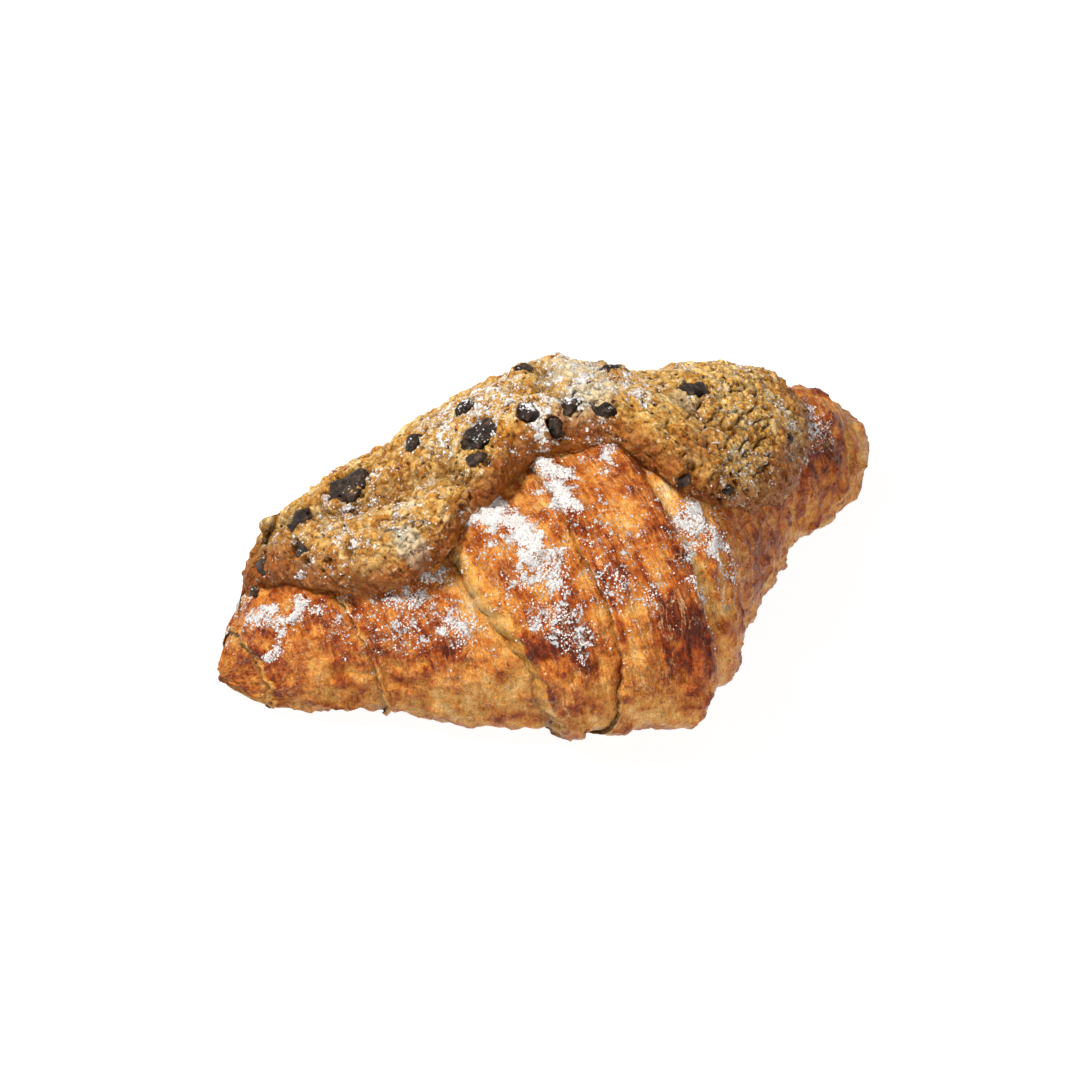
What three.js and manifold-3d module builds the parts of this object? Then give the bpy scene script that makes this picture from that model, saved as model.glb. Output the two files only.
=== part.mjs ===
// A crookie: a butter croissant with a slab of chocolate-chunk cookie dough baked over its back.
//
// Millimetres, +Z up. X runs along the croissant from its left tip to its right tip, -Y is the full,
// bowed front and +Y the side that the tips are swept back to. The croissant lies on z = 0.
// The origin is the middle of the underside of the whole part's bounding box.
//
// The croissant is a skin of rings round a spine. A place on it is (x, turn): x along the spine, and
// turn round the ring, 0 on top, growing down the front, and negative down the back.

import * as THREE from "three";
import { mergeVertices } from "three/addons/utils/BufferGeometryUtils.js";
import Module from "manifold-3d";

const wasm = await Module();
wasm.setup();

// ---------------------------------------------------------------- driving dimensions

// The croissant, tip to tip. Each station is a ring: how far the spine is swept back, half the ring's
// width and its height above the tray.
const LEFT_TIP = -68;
const RIGHT_TIP = 89;
const STATIONS = [
  { x: -66, sweep: 9, half: 10.5, height: 12.5 },
  { x: -46, sweep: 6.5, half: 22, height: 28 },
  { x: -27, sweep: 1, half: 32.5, height: 37.5 },
  { x: -8, sweep: -6, half: 42.5, height: 45.5 },
  { x: 8, sweep: -8, half: 44.5, height: 48.5 },
  { x: 22, sweep: -6.5, half: 36.5, height: 46.5 },
  { x: 40, sweep: -0.5, half: 24.5, height: 40 },
  { x: 60, sweep: 6.5, half: 16.5, height: 33 },
  { x: 86, sweep: 12.5, half: 10.5, height: 20 },
];
const LEFT_END_ROUND = 11; // length over which each tip rounds off
const RIGHT_END_ROUND = 12;
const WIDEST_AT = 0.4; // height of a ring's widest level, as a share of its height
const SAG = 1.1; // how far the lower half of a ring would reach below the tray, before it is cut flat
const BACK_FULLNESS = 0.86; // reach of a ring behind the spine, as a share of its reach in front
const TOP_SQUARENESS = 0.9; // powers of the ring's sine and cosine: under 1 is squarer than an ellipse
const FOOT_SQUARENESS = 0.55;

// The free edges of the rolled dough. Each is a step down, away from the middle of the croissant, and
// drifts along x as it winds down the front (millimetres for each radian).
const LIPS = [
  { x: -64, drift: 0.6, step: 1.5 },
  { x: -47.5, drift: 1.2, step: 2.2 },
  { x: -27, drift: 5, step: 3.5 },
  { x: 13, drift: -1.5, step: 3 },
  { x: 23, drift: 1.5, step: 3 },
  { x: 47, drift: 3, step: 1.6 },
  { x: 78.5, drift: -2, step: 1.5 },
];
const LIPS_ON_LEFT = 3;
const LIP_ABOVE = 0.45; // share of a step that stands above the mean surface; the rest lies below it
const LIP_SWELL = 1.5; // how late a turn of dough swells towards its lip
const LIP_ROUND = 1.2; // length of a lip's rounded shoulder

// The cookie slab, laid over the ridge. Its front and back edges are turns, in degrees, along x.
const SLAB = [
  { x: -59, front: -30, back: -44, thick: 12.5 },
  { x: -53, front: -3, back: -54, thick: 11 },
  { x: -47, front: 17, back: -58, thick: 10 },
  { x: -41, front: 28, back: -63, thick: 9.4 },
  { x: -30, front: 25, back: -74, thick: 9 },
  { x: -20, front: 13, back: -80, thick: 9 },
  { x: -4, front: 1, back: -76, thick: 9.8 },
  { x: 8, front: 3, back: -78, thick: 9.6 },
  { x: 20, front: 31, back: -82, thick: 8.4 },
  { x: 34, front: 50, back: -74, thick: 8.6 },
  { x: 46, front: 63, back: -66, thick: 8.2 },
  { x: 57, front: 68, back: -52, thick: 7.4 },
  { x: 67, front: 52, back: -30, thick: 6 },
];
const SLAB_EDGE_ROUND = 6;
const SLAB_LUMP = 0.9;
const SLAB_THINS = { share: 0.3, from: 12, to: 45 }; // how it thins down its back, in degrees past the ridge
const END_SQUARENESS = 5; // how late the slab's outline starts to close towards its ends

// Chocolate chunks: where each sits on the slab, its three widths (along x, round the ring, and
// through the slab) and how far it is spun on the slab.
const CHUNKS = [
  { x: -36.5, turn: -10, size: [10, 9, 6], spin: 20 },
  { x: -47, turn: -8, size: [7.4, 4.6, 5], spin: 25 },
  { x: -48.5, turn: 3, size: [3.2, 3, 3], spin: 60 },
  { x: -55, turn: -16, size: [4.4, 5, 5], spin: 0 },
  { x: -22.5, turn: -12.5, size: [3, 5.4, 5], spin: -10 },
  { x: -11, turn: -17, size: [5, 3.6, 4.4], spin: 15 },
  { x: -12.5, turn: -5, size: [9.4, 6.4, 6], spin: 20 },
  { x: -16, turn: 1.5, size: [4.6, 3.2, 4], spin: 0 },
  { x: 4, turn: -23.5, size: [4.2, 3.8, 4.4], spin: 30 },
  { x: -3, turn: -5, size: [4.4, 4.8, 5], spin: 10 },
  { x: 0.5, turn: -1, size: [3.2, 2.8, 4], spin: 40 },
  { x: 5.5, turn: -3.5, size: [4.4, 2.8, 4], spin: 0 },
  { x: 10.5, turn: 0.5, size: [6, 3.4, 4.6], spin: -40 },
  { x: 19.5, turn: -15.5, size: [6.4, 3, 4], spin: 10 },
  { x: 33, turn: 2, size: [7.4, 4, 5], spin: -25 },
  { x: 19, turn: 25, size: [3.6, 2.6, 3], spin: 30 },
  { x: 27, turn: 37, size: [4.4, 3.4, 3.6], spin: 15 },
  { x: 51.5, turn: 36, size: [2.8, 2.4, 3], spin: 0 },
  { x: -40, turn: -50, size: [6.4, 5, 4.6], spin: 70 },
  { x: -24, turn: -64, size: [7.4, 6, 5], spin: 15 },
  { x: -6, turn: -60, size: [5, 6.8, 5], spin: 40 },
  { x: 10, turn: -68, size: [8, 6, 5], spin: -30 },
  { x: 27, turn: -62, size: [5.4, 4.4, 4.4], spin: 10 },
  { x: 42, turn: -58, size: [6.6, 5.4, 5], spin: 45 },
  { x: 18, turn: -76, size: [4.6, 4, 4], spin: 0 },
];
const CHUNK_SINK = 0.3; // how deep its centre lies under the slab's face, as a share of its thickness
const CHUNK_KNOCK = 0.16; // how far its corners are moved, as a share of its size
const CHUNK_BLOCKINESS = 0.6; // 0 is a ball, 1 a block
const CHUNK_FILL = 0.84; // share of its stated size that a blocky ball with knocked corners fills

const CRUMB = { x: -57.5, turn: -18, size: [2.4, 2.2, 2], spin: 0 }; // a loose crumb on the crust
const FIT_GAP = 0.3; // clearance between pieces that were baked together
const SKIN_GAP = 0.45; // the same at the skin, where moving out along blended normals loses a third

// Mesh steps.
const RINGS_APART = 4.6;
const RING_SIDES = 44;
const SLAB_ROWS = 34;
const SLAB_COLUMNS = 18;
const OUTLINE_STEPS = 90;

const CRUST = { color: 0xb5642a, roughness: 0.45, metalness: 0 };
const COOKIE = { color: 0xb98a48, roughness: 0.8, metalness: 0 };
const CHOCOLATE = { color: 0x241a18, roughness: 0.5, metalness: 0 };

// ---------------------------------------------------------------- helpers

// A smooth curve through stations that never overshoots them (a monotone cubic).
function curveThrough(stations, key) {
  const n = stations.length;
  const slopes = [];
  for (let i = 0; i < n - 1; i++) {
    const run = stations[i + 1].x - stations[i].x;
    slopes.push((stations[i + 1][key] - stations[i][key]) / run);
  }
  const tangents = [slopes[0]];
  for (let i = 1; i < n - 1; i++) {
    const before = slopes[i - 1];
    const after = slopes[i];
    tangents.push(before * after <= 0 ? 0 : (2 * before * after) / (before + after));
  }
  tangents.push(slopes[n - 2]);
  return (x) => {
    const clamped = THREE.MathUtils.clamp(x, stations[0].x, stations[n - 1].x);
    let i = 0;
    while (i < n - 2 && clamped > stations[i + 1].x) i += 1;
    const run = stations[i + 1].x - stations[i].x;
    const t = (clamped - stations[i].x) / run;
    const fromStart = (1 + 2 * t) * (1 - t) ** 2 * stations[i][key];
    const fromEnd = t * t * (3 - 2 * t) * stations[i + 1][key];
    const bend = t * (1 - t) ** 2 * tangents[i] - t * t * (1 - t) * tangents[i + 1];
    return fromStart + fromEnd + run * bend;
  };
}

// A scattered number between -1 and 1, always the same for the same corner of the same piece.
function wobble(piece, corner) {
  const scattered = Math.sin(piece * 12.9898 + corner * 78.233 + 1) * 43758.5453;
  return 2 * (scattered - Math.floor(scattered)) - 1;
}

// Eased steps from 0 to 1, closer together towards both ends.
const easedStep = (i, count) => (1 - Math.cos((Math.PI * i) / count)) / 2;

function toSolid({ positions, triangles }) {
  const vertProperties = new Float32Array(positions.flatMap((p) => [p.x, p.y, p.z]));
  const triVerts = new Uint32Array(triangles.flat());
  return new wasm.Manifold(new wasm.Mesh({ numProp: 3, vertProperties, triVerts }));
}

function toMesh(name, solid, finish) {
  const mesh = solid.getMesh();
  const stride = mesh.numProp;
  const positions = new Float32Array(mesh.numVert * 3);
  for (let i = 0; i < mesh.numVert; i++) {
    positions.set(mesh.vertProperties.subarray(i * stride, i * stride + 3), i * 3);
  }
  const geometry = new THREE.BufferGeometry();
  geometry.setAttribute("position", new THREE.BufferAttribute(positions, 3));
  geometry.setIndex(new THREE.BufferAttribute(new Uint32Array(mesh.triVerts), 1));
  geometry.computeVertexNormals();
  const made = new THREE.Mesh(geometry, new THREE.MeshStandardMaterial(finish));
  made.name = name;
  return made;
}

// ---------------------------------------------------------------- the croissant's skin

const sweepAt = curveThrough(STATIONS, "sweep");
const halfAt = curveThrough(STATIONS, "half");
const heightAt = curveThrough(STATIONS, "height");

const lipAt = (lip, turn) => lip.x + lip.drift * turn;

// How much the tips have rounded off at x: 1 along the body, 0 at the very tip.
function endRound(x) {
  const left = THREE.MathUtils.clamp((x - LEFT_TIP) / LEFT_END_ROUND, 0, 1);
  const right = THREE.MathUtils.clamp((RIGHT_TIP - x) / RIGHT_END_ROUND, 0, 1);
  return Math.sqrt(1 - (1 - left) ** 2) * Math.sqrt(1 - (1 - right) ** 2);
}

// The point at (x, turn), with the skin moved out by `lift`.
function skinPoint(x, turn, lift) {
  const round = endRound(x);
  const middle = WIDEST_AT * heightAt(x);
  const across = (halfAt(x) + lift) * round;
  const sine = Math.sin(turn);
  const cosine = Math.cos(turn);
  const isTop = cosine > 0;
  const squareness = isTop ? TOP_SQUARENESS : FOOT_SQUARENESS;
  const fullness = sine < 0 ? -BACK_FULLNESS : 1;
  const y = sweepAt(x) - across * fullness * Math.abs(sine) ** squareness;
  const rise = (heightAt(x) - middle + lift) * round;
  const fall = middle * SAG * round;
  const z = middle + (isTop ? rise * cosine : -fall * Math.abs(cosine) ** TOP_SQUARENESS);
  return new THREE.Vector3(x, y, Math.max(z, 0));
}

// How far a turn of dough stands off the mean skin: low where it comes out from under its inner
// neighbour (innerStep), and high at its own lip (outerStep). `along` goes from 0 there to 1 here.
function doughSwell(along, innerStep, outerStep) {
  const low = (1 - LIP_ABOVE) * innerStep * (1 - along) ** LIP_SWELL;
  const high = LIP_ABOVE * outerStep * along ** LIP_SWELL;
  return high - low;
}

// The rows of the skin, each a pair of functions of the turn: its x, and how far it stands off.
function skinRows() {
  const still = (value) => () => value;
  const edges = [
    { at: still(LEFT_TIP), step: 0 },
    ...LIPS.map((lip) => ({ at: (turn) => lipAt(lip, turn), step: lip.step })),
    { at: still(RIGHT_TIP), step: 0 },
  ];
  const rows = [];
  edges.slice(0, -1).forEach((left, i) => {
    const right = edges[i + 1];
    const isLeftArm = i < LIPS_ON_LEFT;
    const isMiddle = i === LIPS_ON_LEFT;
    const inset = LIP_ROUND / 2;
    const length = right.at(0) - left.at(0);
    const count = Math.max(3, Math.round(length / RINGS_APART));
    for (let k = 0; k <= count; k++) {
      const t = k / count;
      const atTip = (i === 0 && k === 0) || (i === LIPS.length && k === count);
      if (atTip) continue;
      const x = (turn) => THREE.MathUtils.lerp(left.at(turn) + inset, right.at(turn) - inset, t);
      let stand = doughSwell(t, left.step, right.step);
      if (isLeftArm) stand = doughSwell(1 - t, right.step, left.step);
      if (isMiddle) {
        const towardsLip = Math.abs(2 * t - 1);
        stand = doughSwell(towardsLip, 0, t < 0.5 ? left.step : right.step);
      }
      rows.push({ x, stand });
    }
  });
  return rows;
}

function croissantSkin() {
  const rows = skinRows();
  const tip = (x) => new THREE.Vector3(x, sweepAt(x), WIDEST_AT * heightAt(x));
  const positions = [tip(LEFT_TIP)];
  rows.forEach((row) => {
    for (let side = 0; side < RING_SIDES; side++) {
      const turn = (2 * Math.PI * side) / RING_SIDES - Math.PI;
      const x = row.x(turn);
      positions.push(skinPoint(x, turn, row.stand));
    }
  });
  positions.push(tip(RIGHT_TIP));

  const vertex = (row, side) => 1 + row * RING_SIDES + (side % RING_SIDES);
  const lastRow = rows.length - 1;
  const lastTip = positions.length - 1;
  const triangles = [];
  for (let s = 0; s < RING_SIDES; s++) {
    triangles.push([0, vertex(0, s + 1), vertex(0, s)]);
    triangles.push([lastTip, vertex(lastRow, s), vertex(lastRow, s + 1)]);
    for (let r = 0; r < lastRow; r++) {
      triangles.push([vertex(r, s), vertex(r + 1, s + 1), vertex(r + 1, s)]);
      triangles.push([vertex(r, s), vertex(r, s + 1), vertex(r + 1, s + 1)]);
    }
  }
  return { positions, triangles };
}

// The same skin moved out by `gap` along its normals: the room that its neighbours leave it.
function grown({ positions, triangles }, gap) {
  const geometry = new THREE.BufferGeometry().setFromPoints(positions);
  geometry.setIndex(triangles.flat());
  geometry.computeVertexNormals();
  const normals = geometry.attributes.normal;
  const moved = positions.map((point, i) => {
    const normal = new THREE.Vector3().fromBufferAttribute(normals, i);
    return point.clone().addScaledVector(normal, gap);
  });
  return { positions: moved, triangles };
}

// ---------------------------------------------------------------- the cookie slab

const slabFrontAt = curveThrough(SLAB, "front");
const slabBackAt = curveThrough(SLAB, "back");
const slabThickAt = curveThrough(SLAB, "thick");
const SLAB_LEFT = SLAB[0].x;
const SLAB_RIGHT = SLAB[SLAB.length - 1].x;

// The slab's edge turns at x, drawn together towards its two ends.
function slabEdges(x) {
  const t = (2 * (x - SLAB_LEFT)) / (SLAB_RIGHT - SLAB_LEFT) - 1;
  const open = Math.sqrt(Math.max(0, 1 - Math.abs(t) ** END_SQUARENESS));
  const front = THREE.MathUtils.degToRad(slabFrontAt(x));
  const back = THREE.MathUtils.degToRad(slabBackAt(x));
  const middle = (front + back) / 2;
  const reach = ((front - back) / 2) * open;
  return { front: middle + reach, back: middle - reach };
}

function slabOutline() {
  const outline = [];
  for (let i = 0; i <= OUTLINE_STEPS; i++) {
    const x = THREE.MathUtils.lerp(SLAB_LEFT, SLAB_RIGHT, easedStep(i, OUTLINE_STEPS));
    const edges = slabEdges(x);
    outline.push(skinPoint(x, edges.front, 0), skinPoint(x, edges.back, 0));
  }
  return outline;
}

const OUTLINE = slabOutline();

// The slab's thickness at (x, turn): rounded off at its edge, and lumpy.
function slabThickness(x, turn) {
  const here = skinPoint(x, turn, 0);
  const fromEdge = Math.min(...OUTLINE.map((p) => p.distanceTo(here)));
  const inward = Math.min(fromEdge / SLAB_EDGE_ROUND, 1);
  const edge = Math.sqrt(1 - (1 - inward) ** 2);
  const lumps = Math.sin(x * 0.31 + 1.3) * Math.cos(turn * 7.1 + x * 0.12);
  const pastRidge = -THREE.MathUtils.radToDeg(turn);
  const thins = SLAB_THINS.share * THREE.MathUtils.smoothstep(pastRidge, SLAB_THINS.from, SLAB_THINS.to);
  return edge * (slabThickAt(x) * (1 - thins) + SLAB_LUMP * lumps);
}

// Two sheets, the slab's face and one buried in the dough, joined round their edge by a wall and at
// their two ends by a point. What lies within the croissant's room is then cut away.
function slabSolid(croissantRoom) {
  const face = [];
  const buried = [];
  for (let i = 1; i < SLAB_ROWS; i++) {
    const x = THREE.MathUtils.lerp(SLAB_LEFT, SLAB_RIGHT, easedStep(i, SLAB_ROWS));
    const edges = slabEdges(x);
    for (let j = 0; j <= SLAB_COLUMNS; j++) {
      const turn = THREE.MathUtils.lerp(edges.front, edges.back, easedStep(j, SLAB_COLUMNS));
      face.push(skinPoint(x, turn, slabThickness(x, turn)));
      buried.push(skinPoint(x, turn, -SLAB_EDGE_ROUND));
    }
  }
  const ends = [SLAB_LEFT, SLAB_RIGHT].map((x) => skinPoint(x, slabEdges(x).front, 0));

  const width = SLAB_COLUMNS + 1;
  const under = face.length;
  const leftEnd = 2 * under;
  const rightEnd = leftEnd + 1;
  const triangles = [];
  const quad = (p, q, r, s) => triangles.push([p, q, r], [p, r, s]);
  for (let row = 0; row < SLAB_ROWS - 2; row++) {
    const front = row * width;
    const back = front + SLAB_COLUMNS;
    for (let p = front; p < back; p++) {
      quad(p, p + width, p + width + 1, p + 1);
      quad(under + p, under + p + 1, under + p + width + 1, under + p + width);
    }
    quad(front, under + front, under + front + width, front + width);
    quad(back, back + width, under + back + width, under + back);
  }
  const lastFront = (SLAB_ROWS - 2) * width;
  const lastBack = lastFront + SLAB_COLUMNS;
  for (let j = 0; j < SLAB_COLUMNS; j++) {
    const p = lastFront + j;
    triangles.push([leftEnd, j, j + 1], [leftEnd, under + j + 1, under + j]);
    triangles.push([rightEnd, p + 1, p], [rightEnd, under + p, under + p + 1]);
  }
  triangles.push([leftEnd, under, 0], [leftEnd, SLAB_COLUMNS, under + SLAB_COLUMNS]);
  triangles.push([rightEnd, lastFront, under + lastFront], [rightEnd, under + lastBack, lastBack]);
  const slab = toSolid({ positions: [...face, ...buried, ...ends], triangles });
  return slab.subtract(croissantRoom);
}

// ---------------------------------------------------------------- chocolate

// Axes of the skin at (x, turn): along the croissant, round the ring towards the back, and out.
function skinAxes(x, turn) {
  const step = 0.01;
  const here = skinPoint(x, turn, 0);
  const along = skinPoint(x + step, turn, 0).sub(here).normalize();
  const round = skinPoint(x, turn - step, 0).sub(here);
  const out = new THREE.Vector3().crossVectors(along, round).normalize();
  round.crossVectors(out, along);
  return new THREE.Matrix4().makeBasis(along, round, out);
}

// A broken chunk: a ball of flat faces with its corners knocked about, then squashed to its size.
function chunkSolid(chunk, seed, depth, grow) {
  const ball = new THREE.IcosahedronGeometry(1, 1);
  ball.deleteAttribute("normal");
  ball.deleteAttribute("uv");
  const merged = mergeVertices(ball, 1e-4);
  const spin = new THREE.Matrix4().makeRotationZ(THREE.MathUtils.degToRad(chunk.spin));
  const turn = THREE.MathUtils.degToRad(chunk.turn);
  const place = skinAxes(chunk.x, turn).multiply(spin);
  const centre = skinPoint(chunk.x, turn, depth);
  const [long, wide, thick] = chunk.size;
  const positions = [];
  for (let i = 0; i < merged.attributes.position.count; i++) {
    const point = new THREE.Vector3().fromBufferAttribute(merged.attributes.position, i);
    const knock = 1 + CHUNK_KNOCK * wobble(seed, i);
    const block = Math.max(Math.abs(point.x), Math.abs(point.y), Math.abs(point.z));
    point.multiplyScalar((knock * CHUNK_FILL) / THREE.MathUtils.lerp(1, block, CHUNK_BLOCKINESS));
    point.multiply(new THREE.Vector3(long / 2 + grow, wide / 2 + grow, thick / 2 + grow));
    positions.push(point.applyMatrix4(place).add(centre));
  }
  const index = merged.index.array;
  const triangles = [];
  for (let i = 0; i < index.length; i += 3) {
    triangles.push([index[i], index[i + 1], index[i + 2]]);
  }
  return toSolid({ positions, triangles });
}

function chunkDepth(chunk) {
  const turn = THREE.MathUtils.degToRad(chunk.turn);
  return slabThickness(chunk.x, turn) - CHUNK_SINK * chunk.size[2];
}

const chunkName = (i) => "chocolate_chunk_" + String(i + 1).padStart(2, "0");

// ---------------------------------------------------------------- assembly

const skin = croissantSkin();
const croissant = toSolid(skin);
const croissantRoom = toSolid(grown(skin, SKIN_GAP));
const chunkRooms = CHUNKS.map((chunk, i) => chunkSolid(chunk, i, chunkDepth(chunk), FIT_GAP));
let cookie = slabSolid(croissantRoom);
chunkRooms.forEach((room) => {
  cookie = cookie.subtract(room);
});

const crookie = new THREE.Group();
const lying = new THREE.Group();
lying.add(toMesh("croissant", croissant, CRUST));
lying.add(toMesh("cookie_topping", cookie, COOKIE));
CHUNKS.forEach((chunk, i) => {
  const solid = chunkSolid(chunk, i, chunkDepth(chunk), 0).subtract(croissantRoom);
  lying.add(toMesh(chunkName(i), solid, CHOCOLATE));
});
const crumbDepth = CRUMB.size[2] / 2 + FIT_GAP;
const crumb = chunkSolid(CRUMB, CHUNKS.length, crumbDepth, 0).subtract(croissantRoom);
lying.add(toMesh("chocolate_crumb", crumb, CHOCOLATE));

const box = new THREE.Box3().setFromObject(lying);
const middle = box.getCenter(new THREE.Vector3());
lying.position.set(-middle.x, -middle.y, -box.min.z);
crookie.add(lying);

export default crookie;
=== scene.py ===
# %% [markdown]
# # A crookie: a croissant with a cookie baked on its back
#
# The real thing is a butter croissant, rolled from a folded dough, with a scoop of chocolate-chunk
# cookie dough pressed over its ridge, baked a second time and dusted with icing sugar.
# The CAD frame gives its pieces at their real size. Here each of them gets its baked surface.
#
# A croissant could be sculpted by hand or grown from a noise-covered ball. Its surface has a rule,
# though: every flake, lip and blister follows the way the dough was rolled. So it is built as a skin
# of rings round a spine, and a place on it is (x, turn), where turn is the angle round the ring.

# %% Load the frame
import math

import bmesh
import bpy
import numpy as np
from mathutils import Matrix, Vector


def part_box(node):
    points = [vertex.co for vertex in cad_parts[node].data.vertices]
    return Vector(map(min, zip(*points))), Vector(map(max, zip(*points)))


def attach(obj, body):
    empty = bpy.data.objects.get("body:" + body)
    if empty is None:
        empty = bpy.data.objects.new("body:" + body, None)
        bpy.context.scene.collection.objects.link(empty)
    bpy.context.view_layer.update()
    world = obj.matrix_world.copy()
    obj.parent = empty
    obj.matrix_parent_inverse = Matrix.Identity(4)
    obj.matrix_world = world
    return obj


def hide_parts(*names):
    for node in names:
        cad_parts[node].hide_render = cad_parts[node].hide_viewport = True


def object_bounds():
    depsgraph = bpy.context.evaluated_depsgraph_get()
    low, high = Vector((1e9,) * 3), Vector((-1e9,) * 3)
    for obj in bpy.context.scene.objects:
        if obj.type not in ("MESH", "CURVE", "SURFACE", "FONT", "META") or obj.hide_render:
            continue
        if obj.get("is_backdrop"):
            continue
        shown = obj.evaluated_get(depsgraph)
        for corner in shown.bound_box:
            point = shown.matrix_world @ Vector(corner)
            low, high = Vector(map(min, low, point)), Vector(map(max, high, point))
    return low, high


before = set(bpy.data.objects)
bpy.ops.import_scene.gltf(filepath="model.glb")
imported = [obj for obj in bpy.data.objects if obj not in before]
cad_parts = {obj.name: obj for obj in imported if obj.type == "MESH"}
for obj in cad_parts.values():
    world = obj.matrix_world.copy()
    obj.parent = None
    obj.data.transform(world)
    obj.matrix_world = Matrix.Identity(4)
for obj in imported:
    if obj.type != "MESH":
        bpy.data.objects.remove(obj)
cad_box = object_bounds()
print("pieces in the frame:", len(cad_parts))

# %% [markdown]
# ## One ruler for everything
#
# The shapes below are stated in millimetres of a croissant 157 mm from tip to tip. The frame says
# how long this one really is, so one scale and one origin carry every point into the frame.
# `to_frame` does that at the very end, and all the work before it can think in millimetres.

# %% Millimetres of the croissant into metres of the frame
crust_low, crust_high = (np.array(corner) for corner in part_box("croissant"))
LEFT_TIP, RIGHT_TIP = -68.0, 89.0
FRONT_REACH = 53.5
MM = (crust_high[0] - crust_low[0]) / (RIGHT_TIP - LEFT_TIP)
ORIGIN = np.array([crust_low[0] - LEFT_TIP * MM, crust_low[1] + FRONT_REACH * MM, crust_low[2]])


def to_frame(points):
    return ORIGIN + MM * points


def from_frame(points):
    return (points - ORIGIN) / MM


print("one millimetre of the croissant is", round(MM * 1000, 4), "mm of the frame")

# %% [markdown]
# ## Smooth curves and noise
#
# `curve_through` runs a monotone cubic through a few stations, so a form swells and narrows without
# a kink. `bumps` is gradient noise and `cells` measures the distance to scattered points, and both
# are written out here because millions of points are worked on at once, and always with fixed seeds.

# %% Curves, noise and cells


def curve_through(stations, column):
    stations = np.array(stations, float)
    xs, ys = stations[:, 0], stations[:, column]
    slopes = np.diff(ys) / np.diff(xs)
    before, after = slopes[:-1], slopes[1:]
    same_way = before * after > 0
    inner = np.where(same_way, 2 * before * after / np.where(same_way, before + after, 1), 0)
    tangents = np.concatenate([slopes[:1], inner, slopes[-1:]])

    def at(x):
        x = np.clip(x, xs[0], xs[-1])
        i = np.clip(np.searchsorted(xs, x) - 1, 0, len(xs) - 2)
        run = xs[i + 1] - xs[i]
        t = (x - xs[i]) / run
        value = (1 + 2 * t) * (1 - t) ** 2 * ys[i] + t * t * (3 - 2 * t) * ys[i + 1]
        bend = t * (1 - t) ** 2 * tangents[i] - t * t * (1 - t) * tangents[i + 1]
        return value + run * bend

    return at


def scatter(cell, seed):
    """A repeatable whole number for each lattice cell."""
    h = cell[..., 0] * 73856093 ^ cell[..., 1] * 19349663 ^ cell[..., 2] * 83492791 ^ seed * 2654435
    h = (h ^ (h >> 13)) * 1274126177 & 0x7FFFFFFF
    return (h ^ (h >> 16)) * 668265263 & 0x7FFFFFFF


def thirds(h):
    """Three numbers from -1 to 1 out of one whole number."""
    return np.stack([(h & 1023), (h >> 10 & 1023), (h >> 20 & 1023)], -1) / 511.5 - 1


def bumps(points, size, seed=0):
    """Gradient noise from about -1 to 1, with bumps `size` apart; size may differ along each axis."""
    q = points / np.array(size, float) + seed * 7.31
    cell = np.floor(q).astype(np.int64)
    inside = q - cell
    ease = inside**3 * (inside * (inside * 6 - 15) + 10)
    total = np.zeros(points.shape[:-1])
    for corner in np.ndindex(2, 2, 2):
        corner = np.array(corner)
        slope = thirds(scatter(cell + corner, seed))
        weight = np.prod(np.where(corner == 1, ease, 1 - ease), axis=-1)
        total += weight * np.sum(slope * (inside - corner), axis=-1)
    return 1.7 * total


def cells(points, size, seed=0):
    """Distances to the nearest and second nearest of points scattered one to a cell, in cells."""
    q = points / np.array(size, float) + seed * 3.17
    cell = np.floor(q).astype(np.int64)
    nearest = np.full(points.shape[:-1], 9.0)
    second = nearest.copy()
    for step in np.ndindex(3, 3, 3):
        there = cell + np.array(step) - 1
        spot = there + 0.5 + 0.42 * thirds(scatter(there, seed))
        d = np.linalg.norm(spot - q, axis=-1)
        second = np.minimum(second, np.maximum(nearest, d))
        nearest = np.minimum(nearest, d)
    return nearest, second


def smoothstep(low, high, value):
    t = np.clip((value - low) / (high - low), 0, 1)
    return t * t * (3 - 2 * t)


def patches(x, turn, spots):
    """How much of any soft-edged oval patch lies at (x, turn): each spot is
    (x, turn in degrees, half length along x, half length round in degrees, strength)."""
    total = np.zeros(np.broadcast(x, turn).shape)
    for spot_x, spot_turn, along, around, strength in spots:
        away = ((x - spot_x) / along) ** 2 + ((np.degrees(turn) - spot_turn) / around) ** 2
        total = np.maximum(total, strength * np.exp(-(away**1.5)))
    return total


# %% [markdown]
# ## The croissant's form
#
# A rolled croissant is fattest in the middle, where most dough lies on itself, and its arms are swept
# back. Nine stations along it give the sweep of the spine, the half width and the height of a ring.
# A ring is a little squarer than an ellipse below, because the soft dough settled on the tray.

# %% The mean skin
STATIONS = [  # x, sweep, half width, height
    (-66, 9, 10.5, 12.5),
    (-46, 6.5, 22, 28),
    (-27, 1, 32.5, 37.5),
    (-8, -6, 42.5, 45.5),
    (8, -8, 44.5, 48.5),
    (22, -6.5, 36.5, 46.5),
    (40, -0.5, 24.5, 40),
    (60, 6.5, 16.5, 33),
    (86, 12.5, 10.5, 20),
]
sweep_at, half_at, height_at = (curve_through(STATIONS, column) for column in (1, 2, 3))
LEFT_ROUND, RIGHT_ROUND = 11.0, 12.0
WIDEST_AT, SAG, BACK_FULLNESS = 0.4, 1.1, 0.86
TOP_SQUARENESS, FOOT_SQUARENESS = 0.9, 0.55


def end_round(x):
    left = np.clip((x - LEFT_TIP) / LEFT_ROUND, 0, 1)
    right = np.clip((RIGHT_TIP - x) / RIGHT_ROUND, 0, 1)
    return np.sqrt(1 - (1 - left) ** 2) * np.sqrt(1 - (1 - right) ** 2)


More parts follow.
